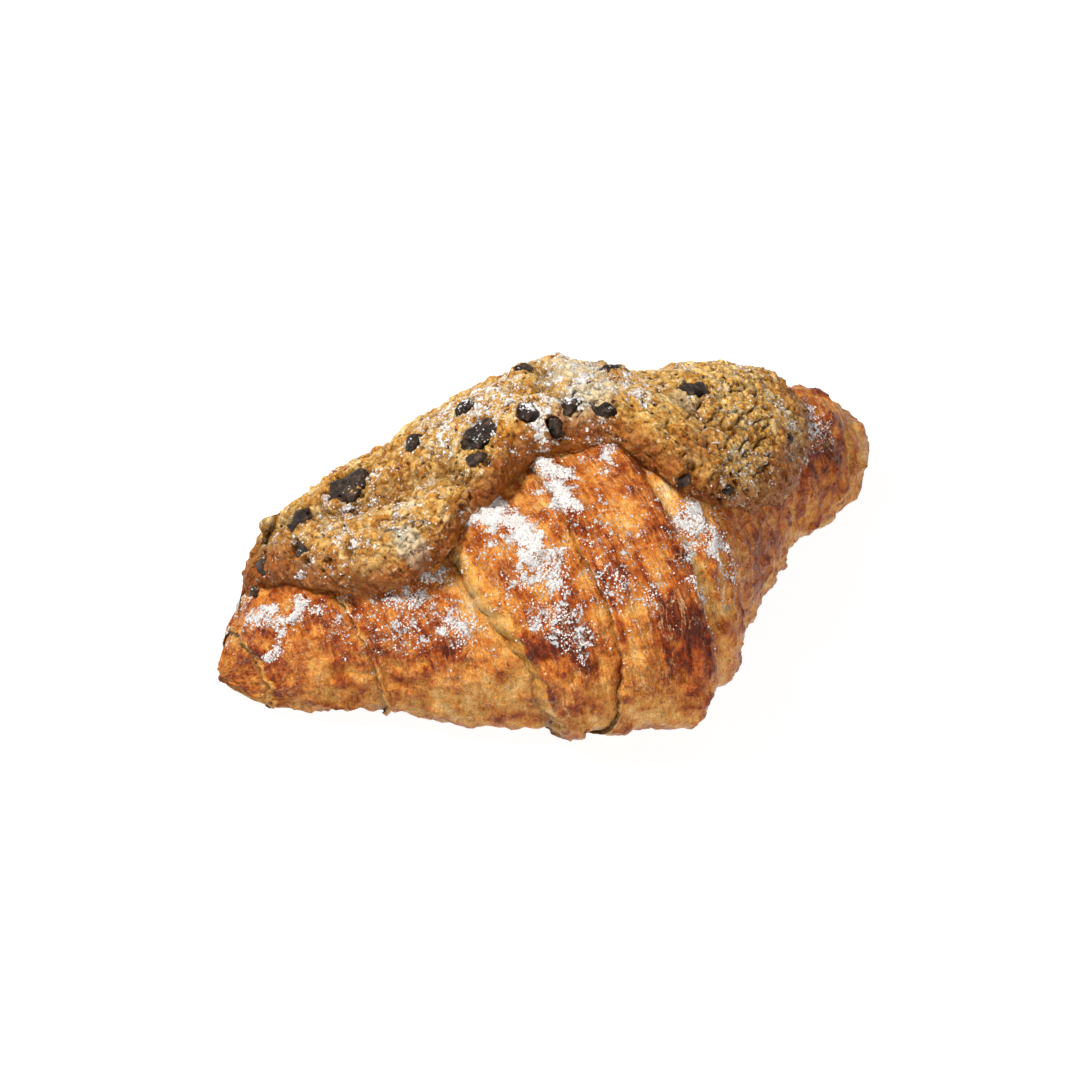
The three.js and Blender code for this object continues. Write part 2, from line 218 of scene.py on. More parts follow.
def skin(x, turn, lift=0.0):
    """The point at (x, turn) of the croissant's mean skin, moved out by lift."""
    grow = end_round(x)
    sine, cosine = np.sin(turn), np.cos(turn)
    middle = WIDEST_AT * height_at(x)
    squareness = np.where(cosine > 0, TOP_SQUARENESS, FOOT_SQUARENESS)
    side = np.where(sine < 0, -BACK_FULLNESS, 1.0)
    y = sweep_at(x) - (half_at(x) + lift) * grow * side * np.abs(sine) ** squareness
    rise = (height_at(x) - middle + lift) * grow * np.abs(cosine)
    fall = -middle * SAG * grow * np.abs(cosine) ** TOP_SQUARENESS
    z = middle + np.where(cosine > 0, rise, fall)
    return np.stack([x + 0 * turn, y, np.maximum(z, 0)], -1)


# %% [markdown]
# ## Lips, where one turn of dough ends on the next
#
# The dough was cut as a long triangle and rolled up, so its two free edges wind round the croissant
# as lips. Each lip is a step down towards the tip. Some tear open in the oven into a sloping wall of
# pale layers, and some curl over and leave a dark crevice beneath.
#
# A height map can't fold under itself. Here the rows of the skin are led along each lip instead:
# over its shoulder, down its wall, into the crevice and out again onto the next turn of dough.

# %% Lips and the rows of the skin
ABOVE = 0.45  # share of a step above the mean skin
OPENS_AT = 1.8  # a lip lower than this has hardly a crevice
FAR = 9.0  # stands for a distance at which a lip has no effect any more
# x on top, drift per radian, step, width of the wall (under 0 it curls over), raggedness, and how
# much of the wall is raw cream layers
LIPS = [
    dict(x=-63.0, drift=0.6, step=1.2, wall=0.1, ragged=0.8, cream=0.08, side=-1),
    dict(x=-47.5, drift=2.4, step=0.8, wall=0.0, ragged=0.9, cream=0.0, side=-1),
    dict(x=-27.5, drift=5.6, step=3.3, wall=1.1, ragged=1.5, cream=0.10, side=-1),
    dict(x=-5.0, drift=-1.4, step=1.3, wall=0.0, ragged=0.9, cream=0.0, side=-1),
    dict(x=12.8, drift=-1.5, step=3.2, wall=-0.6, ragged=0.9, cream=0.2, side=1),
    dict(x=23.0, drift=1.5, step=3.0, wall=-0.4, ragged=0.9, cream=0.06, side=1),
    dict(x=47.0, drift=3.0, step=1.4, wall=0.1, ragged=1.0, cream=0.0, side=1),
    dict(x=78.5, drift=-2.0, step=1.3, wall=0.1, ragged=0.7, cream=0.08, side=1),
]
SHOULDER = [(-3.4, 0.0), (-2.8, 0.04), (-2.2, 0.0), (-1.7, 0.1), (-1.2, 0.02), (-0.8, 0.06), (-0.4, 0.16)]
SHOULDER_REACH, CREVICE_REACH = -SHOULDER[0][0], 2.5
WALL_ROWS = 6
CREVICE = [(-0.5, -0.25), (-0.9, -0.6), (-0.5, -0.75), (0.1, -0.55), (0.8, -0.25), (1.6, -0.08), (2.5, 0.0)]
ROW_SPACING = 0.66
COLUMNS = 300

# Columns are spent where they show: few under the croissant and fewer beneath the cookie.
COLUMN_PLAN = [(-180, 0.0), (-125, 0.05), (-72, 0.25), (-8, 0.43), (118, 0.94), (180, 1.0)]
plan_turn, plan_share = np.array(COLUMN_PLAN, float).T
TURN = np.radians(np.interp(np.arange(COLUMNS) / COLUMNS, plan_share, plan_turn))


def lip_line(lip, index):
    """Where a lip runs, with the raggedness of torn layers."""
    girth = np.stack([30 * TURN, 0 * TURN + 13.7 * index, 0 * TURN], -1)
    tear = bumps(girth, 9.0, index) + 0.5 * bumps(girth, 2.6, index + 20)
    return lip["x"] + lip["drift"] * TURN + lip["ragged"] * tear


def swell(along, inner_step, outer_step):
    return ABOVE * outer_step * along**1.5 - (1 - ABOVE) * inner_step * (1 - along) ** 1.5


def skin_rows():
    """Rows in order of x. Each has its x and its stand-off for every turn, and what it is made of:
    `wall` for torn layers, `cream` for how raw they are, `under` for how far down a crevice it lies,
    which the crust also paints darker as shade, and `inner` and `outer` for its distance to the lip it
    leads to and to the lip it comes from."""
    rows = []
    lines = [lip_line(lip, i) for i, lip in enumerate(LIPS)]
    depth_wobble = []
    for i in range(len(LIPS)):
        girth = np.stack([30 * TURN, 0 * TURN, 0 * TURN + i], -1)
        depth_wobble.append(1 + 0.3 * bumps(girth, 14.0, 40 + i))

    def add(x, stand, wall=0.0, under=0.0, inner=FAR, outer=FAR, cream=0.0):
        rows.append(dict(
            x=x + 0 * TURN, stand=stand + 0 * TURN, wall=wall, under=under, inner=inner, outer=outer,
            cream=cream * wall))

    def lip_rows(i):
        lip, line, step = LIPS[i], lines[i], LIPS[i]["step"] * depth_wobble[i]
        high, low = ABOVE * lip["step"], -(1 - ABOVE) * step
        found = []
        open_part = min(1.0, lip["step"] / OPENS_AT)
        for out, drop in SHOULDER:
            found.append((out, high - drop * step, 0.0, 0.0, -out, FAR))
        for k in range(WALL_ROWS):
            t = (k + 0.5) / WALL_ROWS
            fringe = 0.16 if k % 2 else -0.16
            top = high - 0.25 * step
            stand = top + (low + 0.25 - top) * t
            found.append((lip["wall"] * t + fringe, stand, 1.0, 0.3 * open_part * t, 0.0, 0.0))
        for out, drop in CREVICE:
            depth = open_part * max(0.0, -drop / 0.75)
            found.append((lip["wall"] + out, low + drop * 0.9, 0.35 * depth, depth, FAR, max(out, 0.0)))
        if lip["side"] < 0:
            found.reverse()
        for out, stand, wall, under, inner, outer in found:
            add(line + lip["side"] * out, stand, wall, under, inner, outer, lip["cream"])

    def rows_beside(i, side):
        """How far a lip's own rows reach on one side of it."""
        return CREVICE[-1][0] + LIPS[i]["wall"] if LIPS[i]["side"] == side else -SHOULDER[0][0]

    def step_beside(i, side):
        return LIPS[i]["step"] * (depth_wobble[i] if LIPS[i]["side"] == side else 1)

    def band_rows(left, right):
        """The turn of dough between two lips, or between a lip and a tip (None)."""
        start = LEFT_TIP + 0 * TURN if left is None else lines[left] + rows_beside(left, 1)
        stop = RIGHT_TIP + 0 * TURN if right is None else lines[right] - rows_beside(right, -1)
        left_step = 0 if left is None else step_beside(left, 1)
        right_step = 0 if right is None else step_beside(right, -1)
        reach = float(np.mean(stop - start))
        count = max(3, round(reach / ROW_SPACING))
        for k in range(1, count):
            t = k / count
            if left is None:
                t = t**1.5
            if right is None:
                t = 1 - (1 - t) ** 1.5
            if left is None or (right is not None and LIPS[right]["side"] < 0):
                stand = swell(1 - t, right_step, left_step)
                inner, outer = reach * t + SHOULDER_REACH, reach * (1 - t) + CREVICE_REACH
            elif right is None or LIPS[left]["side"] > 0:
                stand = swell(t, left_step, right_step)
                inner, outer = reach * (1 - t) + SHOULDER_REACH, reach * t + CREVICE_REACH
            else:
                stand = swell(abs(2 * t - 1), 0, left_step if t < 0.5 else right_step)
                inner, outer = reach * min(t, 1 - t) + SHOULDER_REACH, FAR
            add(start + (stop - start) * t, stand, inner=inner, outer=outer)

    band_rows(None, 0)
    for i in range(len(LIPS)):
        lip_rows(i)
        band_rows(i, i + 1 if i + 1 < len(LIPS) else None)
    return rows


rows = skin_rows()
X = np.stack([row["x"] for row in rows])
STAND = np.stack([row["stand"] for row in rows])
WALL, UNDER, INNER, OUTER, CREAM = (
    np.array([row[key] for row in rows])[:, None] + 0 * X
    for key in ("wall", "under", "inner", "outer", "cream"))
T = TURN[None, :] + 0 * X
print("rows of skin:", len(rows), "with", COLUMNS, "points each")

# %% [markdown]
# ## Icing sugar falls where it can settle
#
# Sugar shaken from a sieve lands in drifts and clumps. It shows three ways here: a thick drift is
# part of the surface, a thin film is paint in the material, and loose grains are small solids.
# All three read one density, so they agree. The spots are where this crookie was dusted.

# %% Where the sugar lies on the crust
SUGAR_ON_CRUST = [  # x, turn, half length along x, half length round, strength
    (-17, 12, 4.2, 7, 1.0),
    (-14.5, 24, 4.2, 10, 1.0),
    (-3, 3, 3.6, 8, 0.9),
    (-4, 14, 2.6, 6, 0.9),
    (7, 6, 3.2, 6, 0.7),
    (-14, 38, 4.5, 8, 0.7),
    (-14, 56, 6.5, 12, 0.5),
    (-4, 44, 4, 10, 0.42),
    (2, 52, 6, 8, 0.38),
    (-59.5, 2, 2.6, 8, 0.8),
    (-57, 10, 2.8, 7, 0.9),
    (-54, 17, 2.8, 6, 0.8),
    (-50.5, 24, 2.6, 6, 0.6),
    (-60, 37, 1.8, 8, 0.85),
    (-58, 24, 1.6, 7, 0.6),
    (-47.5, 42, 1.4, 20, 0.45),
    (-29, 28, 2.6, 7, 0.65),
    (-36, 38, 3.2, 9, 0.6),
    (-29, 56, 3.8, 13, 0.6),
    (-38, 56, 6, 12, 0.4),
    (16.5, 37, 4.2, 9, 0.75),
    (21, 52, 4.2, 11, 0.7),
    (11, 50, 1.3, 26, 0.6),
    (25, 68, 2.5, 12, 0.4),
    (66, 30, 8, 26, 0.42),
    (-8, 34, 24, 34, 0.26),
    (-38, 36, 16, 34, 0.24),
    (22, 36, 9, 40, 0.26),
    (55, -60, 12, 20, 0.4),
    (30, -96, 10, 14, 0.5),
    (6, -98, 9, 12, 0.65),
    (-12, -104, 6, 12, 0.45),
    (-36, -92, 8, 14, 0.6),
    (-58, -40, 5, 26, 0.5),
]


def sugar_on(points, x, turn, spots):
    """Drifts have wandering outlines, so the place is shaken a little before it is looked up."""
    x = x + 3.0 * bumps(points, 5.5, 31) + 1.6 * bumps(points, 2.2, 32)
    turn = turn + 0.10 * bumps(points, 5.5, 33) + 0.06 * bumps(points, 2.2, 34)
    return patches(x, turn, spots)


sugar_here = sugar_on(skin(X, T, STAND), X, T, SUGAR_ON_CRUST)

# %% [markdown]
# ## Baking: swelling, folds, flakes and blisters
#
# The oven lifts the layers unevenly. From large to small: whole turns swell, folds run round the
# croissant the way the dough was stretched, the top layers break into flakes with raised edges, and
# steam lifts small blisters. Each is noise of its own size, and the folds' noise is stretched along
# the ring. They fade out on the walls of the lips, where only the torn layers show.

# %% The baked skin


def grid_normals(points):
    along = np.gradient(points, axis=0)
    around = np.roll(points, -1, 1) - np.roll(points, 1, 1)
    normals = np.cross(along, around)
    return normals / (np.linalg.norm(normals, axis=-1, keepdims=True) + 1e-9)


GIRTH = 32.0  # millimetres of skin to one radian of turn, about
mean_skin = skin(X, T, STAND)
normals = grid_normals(mean_skin)
outward = np.sum(normals * (mean_skin - mean_skin.mean(1, keepdims=True)), -1).mean()
normals *= math.copysign(1, outward)
grain = np.stack([X, GIRTH * T, 0 * X], -1)
open_skin = (1 - UNDER) * (1 - 0.85 * WALL)

at_foot = smoothstep(0.45, 0.1, mean_skin[..., 2] / height_at(X))
swelling = 0.9 * bumps(mean_skin, 17, 1) + (0.4 + 0.5 * at_foot) * bumps(mean_skin, 7, 2)
folds = 0.55 * bumps(grain, (3.4, 24, 1), 3) + 0.32 * bumps(grain, (1.7, 13, 1), 4)
peel = bumps(grain, (6.5, 16, 1), 5) + 0.4 * bumps(mean_skin, 3.2, 6) + 0.15 * bumps(mean_skin, 1.3, 7)
flakes = sum(0.3 * smoothstep(level, level + 0.07, peel) for level in (-0.42, -0.05, 0.3))
near, _ = cells(mean_skin, 6.5, 8)
blisters = 0.9 * smoothstep(0.30, 0.05, near) * smoothstep(-0.3, 0.1, bumps(mean_skin, 20, 9))
crinkle = 0.6 * (0.3 - np.abs(bumps(grain, (2.8, 9, 1), 13))) + 0.3 * bumps(mean_skin, 2.8, 14)
wrinkle = np.abs(bumps(mean_skin, 4.4, 15) + 0.5 * bumps(mean_skin, 1.9, 16))
crackle = crinkle + 0.38 * (0.3 - wrinkle) + 0.22 * (0.3 - np.abs(bumps(mean_skin, 1.7, 10)))
drift = smoothstep(0.45, 0.95, sugar_here + 0.3 * bumps(mean_skin, 2.4, 11))
drift *= 0.35 + 0.35 * np.abs(bumps(mean_skin, 1.5, 12))
lift = open_skin * (swelling + folds + flakes - 0.45 + blisters + crackle + drift)
baked_skin = mean_skin + normals * lift[..., None]
baked_skin[..., 2] = np.maximum(baked_skin[..., 2], 0)
print("the skin stands", round(float(lift.min()), 2), "to", round(float(lift.max()), 2), "mm off its mean")

# %% [markdown]
# ## How brown each place is
#
# Colour follows heat and exposure. Lips and the tops of the turns stood proud and went red-brown, and
# the sides near the tray, the ground just uncovered beside a lip and the torn layers stayed golden to
# cream. That is one number from 0, raw cream, to 1, nearly burnt, plus patches of this croissant's own.

# %% Browning
DARK_SPOTS = [  # x, turn, half length along x, half length round, strength, here and below
    (5.5, 72, 5.5, 20, 0.40),
    (-14, 62, 7, 14, 0.30),
    (-36, 56, 9, 16, 0.22),
    (-45, 28, 7, 16, 0.18),
    (-62, 40, 5, 34, 0.22),
    (0, 46, 5, 8, 0.22),
    (37, 78, 10, 22, 0.22),
    (66, 66, 10, 34, 0.26),
    (24, 60, 2.5, 26, 0.24),
    (44, 66, 12, 20, 0.14),
    (-40, -96, 12, 22, 0.25),
    (4, -92, 14, 24, 0.32),
    (40, -90, 12, 26, 0.25),
]
PALE_SPOTS = [
    (-25.5, 66, 3.4, 34, 0.26),
    (-26, 96, 8, 20, 0.12),
    (15.3, 23, 1.8, 9, 0.6),
    (5, 46, 2.2, 7, 0.42),
    (13.5, 53, 2.4, 9, 0.28),
    (18, 76, 6, 14, 0.12),
    (4, 26, 6, 12, 0.16),
    (-44, 88, 14, 12, 0.06),
    (82, 40, 4, 50, 0.22),
    (-20, -96, 6, 20, 0.3),
    (20, -100, 6, 20, 0.28),
]
upness = normals[..., 2]
level = mean_skin[..., 2] / height_at(X)
bake = 0.45 + 0.06 * upness + 0.09 * smoothstep(0.15, 0.75, level)
bake += 0.10 * np.exp(-INNER / 2.6) - 0.10 * np.exp(-OUTER / 2.2)
bake += 0.13 * bumps(mean_skin, 11, 21) + 0.13 * bumps(grain, (3.0, 11, 1), 22)
bake += 0.18 * bumps(mean_skin, 3.2, 23)
bake += 0.35 * (flakes - 0.45) * (0.5 + 0.5 * bumps(mean_skin, 9, 24)) + 0.12 * blisters + 0.38 * crackle
bake += 0.75 * patches(X, T, DARK_SPOTS) - 0.75 * patches(X, T, PALE_SPOTS)
bake = np.clip(bake - 0.08 * WALL - CREAM * (0.8 + 0.7 * bumps(mean_skin, 6, 25)), 0.02, 1)
print("browning runs from", round(float(bake.min()), 2), "to", round(float(bake.max()), 2))

# %% [markdown]
# ## From numbers to a mesh
#
# A closed grid becomes faces row by row, and each tip is closed with one point. The numbers that the
# material needs travel with the mesh as attributes, and the place along and round the croissant goes
# into a UV map in centimetres, so that a pattern can follow the way the dough was rolled.

# %% A mesh from rings


def new_piece(name, points, faces, attributes=None, smooth=True):
    mesh = bpy.data.meshes.new(name)
    mesh.vertices.add(len(points))
    mesh.vertices.foreach_set("co", np.asarray(points, np.float32).ravel())
    sizes = np.array([len(face) for face in faces], np.int32)
    starts = np.concatenate([[0], np.cumsum(sizes)[:-1]]).astype(np.int32)
    mesh.loops.add(int(sizes.sum()))
    mesh.loops.foreach_set("vertex_index", np.concatenate([np.asarray(f, np.int32) for f in faces]))
    mesh.polygons.add(len(faces))
    mesh.polygons.foreach_set("loop_start", starts)
    mesh.update(calc_edges=True)
    for key, values in (attributes or {}).items():
        layer = mesh.attributes.new(key, "FLOAT", "POINT")
        layer.data.foreach_set("value", np.asarray(values, np.float32).ravel())
    mesh.polygons.foreach_set("use_smooth", [smooth] * len(mesh.polygons))
    mesh.validate()
    piece = bpy.data.objects.new(name, mesh)
    bpy.context.scene.collection.objects.link(piece)
    return piece


def ring_faces(row_count, column_count):
    """Quads between neighbouring rings, and a fan of triangles round each end point."""
    index = 1 + np.arange(row_count * column_count).reshape(row_count, column_count)
    after = np.roll(index, -1, 1)
    quads = np.stack([index[:-1], after[:-1], after[1:], index[1:]], -1).reshape(-1, 4)
    last = 1 + row_count * column_count
    first_fan = np.stack([0 * index[0], after[0], index[0]], -1)
    last_fan = np.stack([0 * index[-1] + last, index[-1], after[-1]], -1)
    return [*quads, *first_fan, *last_fan]


def with_ends(values, first, last):
    return np.concatenate([[first], values.reshape(-1, *values.shape[2:]), [last]])


def tip_point(x):
    return np.array([x, sweep_at(x), WIDEST_AT * height_at(x)])


def set_map(piece, name, per_point):
    """A UV map from one pair of numbers for each point."""
    corners = np.zeros(len(piece.data.loops), np.int32)
    piece.data.loops.foreach_get("vertex_index", corners)
    layer = piece.data.uv_layers.new(name=name)
    layer.data.foreach_set("uv", np.asarray(per_point, np.float32)[corners].ravel())


crust_points = with_ends(baked_skin, tip_point(LEFT_TIP), tip_point(RIGHT_TIP))
# The mesh also carries how far down a crevice each point lies, which the crust material paints darker as
# shade.
crust_values = {
    key: with_ends(values, values[0].mean(), values[-1].mean())
    for key, values in dict(bake=bake, torn=CREAM, crust_crevice_shade=UNDER, sugar=sugar_here * (1 - UNDER)).items()
}
croissant = new_piece(
    "laminated_croissant", to_frame(crust_points), ring_faces(len(rows), COLUMNS), crust_values)
grain_map = np.stack([X, GIRTH * T], -1)
set_map(croissant, "grain", with_ends(grain_map, grain_map[0].mean(0), grain_map[-1].mean(0)) / 10)
print("croissant faces:", len(croissant.data.polygons))

# %% [markdown]
# ## Building materials from nodes
#
# `colour` turns a hex value, as a colour picker gives it, into the linear numbers that light is
# added up in. `add_node` makes any node with its settings and its inputs: an input is a number, a
# colour, another node's output, or a node, which stands for its first output. Every material here is
# made with these two.

# %% Colour and node helpers


def colour(code):
    channels = [int(code[i : i + 2], 16) / 255 for i in (1, 3, 5)]
    return (*[c / 12.92 if c <= 0.04045 else ((c + 0.055) / 1.055) ** 2.4 for c in channels], 1.0)


def add_node(tree, kind, inputs=None, stops=None, **settings):
    made = tree.nodes.new(kind)
    for key, value in settings.items():
        setattr(made, key, value)
    for key, value in (inputs or {}).items():
        if isinstance(value, bpy.types.Node):
            value = value.outputs[0]
        if isinstance(value, bpy.types.NodeSocket):
            tree.links.new(value, made.inputs[key])
        else:
            made.inputs[key].default_value = value
    if stops:
        steps = made.color_ramp.elements
        while len(steps) < len(stops):
            steps.new(1.0)
        for step, (place, shade) in zip(steps, stops):
            step.position, step.color = place, shade if isinstance(shade, tuple) else colour(shade)
    return made


def new_material(name):
    material = bpy.data.materials.new(name)
    material.use_nodes = True
    material.node_tree.nodes.clear()
    return material, material.node_tree


# %% [markdown]
# ## Sifted icing sugar, drawn on whatever it fell on
#
# At the edge of a drift each grain still shows, so the dusting is drawn grain by grain: cells of two
# sizes, a grain in each cell that chance favours where the sugar lies thick, and wider grains in the
# thick of it, where a film closes the gaps. Croissant, cookie and chocolate share it.

# %% Dusting for any material
FINE_GRAIN, COARSE_GRAIN = 0.55, 1.2  # millimetres from grain to grain
mm = 1000.0  # noise scale is bumps to a metre, so mm / size gives bumps of that many millimetres
SUGAR_WHITE = colour("#dde3ec")
FILM_FROM, FILM_TO, FILM = 0.6, 1.0, 0.8  # in the thick of it finer sugar fills the gaps
RAGGED_SIZE, RAGGED_SWING = 2.4, 5.2  # millimetres and strength of the noise that breaks up a drift
RAGGED_MIDDLE = 2.66  # what that noise comes to in the middle of its swing, taken off again
HEAP_SHARE = 1.55  # heap for one unit of sugar
THIN_OUT = 0.18  # this much less sugar everywhere, so that a faint dusting ends in single grains
GRAINS = (  # size, share of the cells that catch one, least radius, growth where sugar is thick
    (FINE_GRAIN, 1.15, 0.24, 0.62),
    (COARSE_GRAIN, 0.70, 0.10, 0.55),
)


def sifted(tree, place, amount):
    """How much of the surface the grains hide, from 0 to 1, where `amount` of sugar fell."""
    ragged = add_node(tree, "ShaderNodeTexNoise", {
        "Vector": place, "Scale": mm / RAGGED_SIZE, "Detail": 6.0, "Roughness": 0.75})
    near = add_node(tree, "ShaderNodeMath", {0: amount, 1: 5.0}, operation="MULTIPLY", use_clamp=True)
    ragged = add_node(tree, "ShaderNodeMath", {
        0: ragged, 1: RAGGED_SWING, 2: -RAGGED_MIDDLE}, operation="MULTIPLY_ADD")
    ragged = add_node(tree, "ShaderNodeMath", {0: ragged, 1: near}, operation="MULTIPLY")
    heap = add_node(tree, "ShaderNodeMath", {
        0: amount, 1: HEAP_SHARE, 2: ragged}, operation="MULTIPLY_ADD")
    heap = add_node(tree, "ShaderNodeMath", {0: heap, 1: THIN_OUT}, operation="SUBTRACT", use_clamp=True)
    shown = []
    for size, share, smallest, growth in GRAINS:
        grains = add_node(tree, "ShaderNodeTexVoronoi", {"Vector": place, "Scale": mm / size})
        chance = add_node(tree, "ShaderNodeSeparateColor", {"Color": grains.outputs["Color"]})
        luck = add_node(tree, "ShaderNodeMath", {0: heap, 1: share}, operation="MULTIPLY")
        luck = add_node(tree, "ShaderNodeMath", {0: luck, 1: chance}, operation="SUBTRACT")
        fell = add_node(tree, "ShaderNodeMapRange", {"Value": luck, "From Min": 0.0, "From Max": 0.1})
        radius = add_node(tree, "ShaderNodeMath", {
            0: heap, 1: growth, 2: smallest}, operation="MULTIPLY_ADD")
        inside = add_node(tree, "ShaderNodeMath", {0: radius, 1: grains}, operation="SUBTRACT")
        inside = add_node(tree, "ShaderNodeMapRange", {"Value": inside, "From Min": 0.0, "From Max": 0.16})
        shown.append(add_node(tree, "ShaderNodeMath", {0: fell, 1: inside}, operation="MULTIPLY"))
    film = add_node(tree, "ShaderNodeMapRange", {
        "Value": heap, "From Min": FILM_FROM, "From Max": FILM_TO, "To Max": FILM})
    for grains in shown:
        film = add_node(tree, "ShaderNodeMath", {0: film, 1: grains}, operation="MAXIMUM")
    return film


# %% [markdown]
# ## Finish: baked laminated butter dough
#
# Crust is starch and sugar browned by dry heat, from cream where it was sheltered to red-brown where
# it stood proud, with butter fried into it, so it is glossier than bread. Its fine grain runs the way
# the dough was stretched, round the croissant, so that noise is laid on the grain map and drawn out
# nine times as long as it is wide. The browning number picks the colour from a ramp.

# %% The crust material
crust, tree = new_material("baked_butter_dough")
place = add_node(tree, "ShaderNodeTexCoord").outputs["Object"]
grain_uv = add_node(tree, "ShaderNodeUVMap", uv_map="grain").outputs["UV"]
browning, torn, crust_crevice_shade, dusted = (
    add_node(tree, "ShaderNodeAttribute", attribute_name=name).outputs["Fac"]
    for name in ("bake", "torn", "crust_crevice_shade", "sugar"))

fine_grain_tone_and_shade = add_node(tree, "ShaderNodeTexNoise", {
    "Vector": add_node(tree, "ShaderNodeMapping", {"Vector": grain_uv, "Scale": (16, 1.8, 1)}),
    "Scale": 1.0, "Detail": 5.0, "Roughness": 0.66, "Distortion": 0.6})
mottle = add_node(tree, "ShaderNodeTexNoise", {
    "Vector": place, "Scale": mm / 4.2, "Detail": 6.0, "Roughness": 0.72})
speck_tone_and_shade = add_node(tree, "ShaderNodeTexNoise", {
    "Vector": place, "Scale": mm / 1.3, "Detail": 4.0, "Roughness": 0.72})

# Painted shade: the fine grain and the specks darken the crust exactly where the inverted bumps below sink
# it, so besides their random tone they paint shade into the small hollows.
# Each pattern swings about 0.5, so its share of the swing is taken off again at the end.
GRAIN_SHARE, MOTTLE_SHARE, SPECK_SHARE = 0.8, 0.5, 0.85
browning_tone_and_shade = browning
for pattern, share in ((fine_grain_tone_and_shade, GRAIN_SHARE), (mottle, MOTTLE_SHARE), (speck_tone_and_shade, SPECK_SHARE)):
    browning_tone_and_shade = add_node(tree, "ShaderNodeMath", {0: pattern, 1: share, 2: browning_tone_and_shade}, operation="MULTIPLY_ADD")
browning_tone_and_shade = add_node(tree, "ShaderNodeMath", {
    0: browning_tone_and_shade, 1: 0.5 * (GRAIN_SHARE + MOTTLE_SHARE + SPECK_SHARE)}, operation="SUBTRACT")
crust_colour = add_node(tree, "ShaderNodeValToRGB", {"Fac": browning_tone_and_shade}, stops=[
    (0.00, "#fce0b2"),
    (0.16, "#f7c67e"),
    (0.32, "#ecad58"),
    (0.48, "#dc903f"),
    (0.64, "#bd6824"),
    (0.82, "#903a0c"),
    (1.00, "#521a04"),
])
# The outermost layers are broken off in flakes: each edge is a thin painted highlight along its rim over a
# thin painted shadow in the gap below.
LAYERS_SHOWN = 7.0
FLAKE_EDGE_HIGHLIGHT_AND_SHADOW = ((0.82, 0.98, 0.55, "#f8d59c"), (0.16, 0.02, 0.65, "#6c2c0c"))  # start, end, share, colour
layers = add_node(tree, "ShaderNodeTexNoise", {
    "Vector": add_node(tree, "ShaderNodeMapping", {"Vector": grain_uv, "Scale": (3.2, 0.9, 1)}),
    "Scale": 1.0, "Detail": 5.0, "Roughness": 0.6, "Distortion": 0.5})
layer = add_node(tree, "ShaderNodeMath", {0: layers, 1: LAYERS_SHOWN}, operation="MULTIPLY")
layer = add_node(tree, "ShaderNodeMath", {0: layer}, operation="FRACT")
flaky = add_node(tree, "ShaderNodeTexNoise", {"Vector": place, "Scale": mm / 9, "Detail": 3.0})
flaky = add_node(tree, "ShaderNodeMapRange", {"Value": flaky, "From Min": 0.42, "From Max": 0.6})
for start, end, strength, shade in FLAKE_EDGE_HIGHLIGHT_AND_SHADOW:
    edge = add_node(tree, "ShaderNodeMapRange", {
        "Value": layer, "From Min": start, "From Max": end, "To Max": strength})
    edge = add_node(tree, "ShaderNodeMath", {0: edge, 1: flaky}, operation="MULTIPLY")
    crust_colour = add_node(tree, "ShaderNodeMix", {
        0: edge, 6: crust_colour, 7: colour(shade)}, data_type="RGBA").outputs[2]
# Where a lip tore open its inner layers stay butter yellow, and in a crevice the crust is painted dark
# brown as shade.
for exposed, share, shade in ((torn, 4.5, "#e6aa48"), (crust_crevice_shade, 0.45, "#6e3412")):
    part = add_node(tree, "ShaderNodeMath", {0: exposed, 1: share}, operation="MULTIPLY", use_clamp=True)
    crust_colour = add_node(tree, "ShaderNodeMix", {
        0: part, 6: crust_colour, 7: colour(shade)}, data_type="RGBA").outputs[2]

cover = sifted(tree, place, dusted)
skin_colour = add_node(tree, "ShaderNodeMix", {0: cover, 6: crust_colour, 7: SUGAR_WHITE}, data_type="RGBA")

gloss = add_node(tree, "ShaderNodeMapRange", {
    "Value": mottle, "From Min": 0.3, "From Max": 0.7, "To Min": 0.2, "To Max": 0.42})
gloss = add_node(tree, "ShaderNodeMath", {0: cover, 1: 0.5, 2: gloss}, operation="MULTIPLY_ADD")
gloss = add_node(tree, "ShaderNodeMath", {
    0: torn, 1: 0.3, 2: gloss}, operation="MULTIPLY_ADD", use_clamp=True)

# These two bumps are inverted, so the crust sinks where the grain and specks paint it dark: painted shade
# in the hollows.
relief = add_node(tree, "ShaderNodeBump", {
    "Height": fine_grain_tone_and_shade, "Distance": 0.0010, "Strength": 1.0}, invert=True)
relief = add_node(tree, "ShaderNodeBump", {
    "Height": speck_tone_and_shade, "Distance": 0.0024, "Strength": 1.0, "Normal": relief}, invert=True)
relief = add_node(tree, "ShaderNodeBump", {
    "Height": layer, "Distance": 0.0004, "Strength": 0.8, "Normal": relief})
relief = add_node(tree, "ShaderNodeBump", {
    "Height": cover, "Distance": 0.0006, "Strength": 1.0, "Normal": relief})
shader = add_node(tree, "ShaderNodeBsdfPrincipled", {
    "Base Color": skin_colour.outputs[2], "Roughness": gloss, "Normal": relief,
    "IOR": 1.4, "Specular IOR Level": 0.2, "Coat Weight": 0.28, "Coat Roughness": 0.12,
    "Coat Normal": relief})
add_node(tree, "ShaderNodeOutputMaterial", {"Surface": shader})
croissant.data.materials.append(crust)
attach(croissant, "root")
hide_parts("croissant")

# %% [markdown]
# ## The cookie slab's form
#
# A scoop of dough is pressed over the ridge and slumps as it bakes, so its outline wanders over the
# croissant's skin and its rim is round and hangs over a little. The outline is two curves on the
# skin, front and back. Every point inside knows how far it is from the outline, and that distance
# rolls the sheet up the rim: out over the edge first, then up and in to the full thickness.

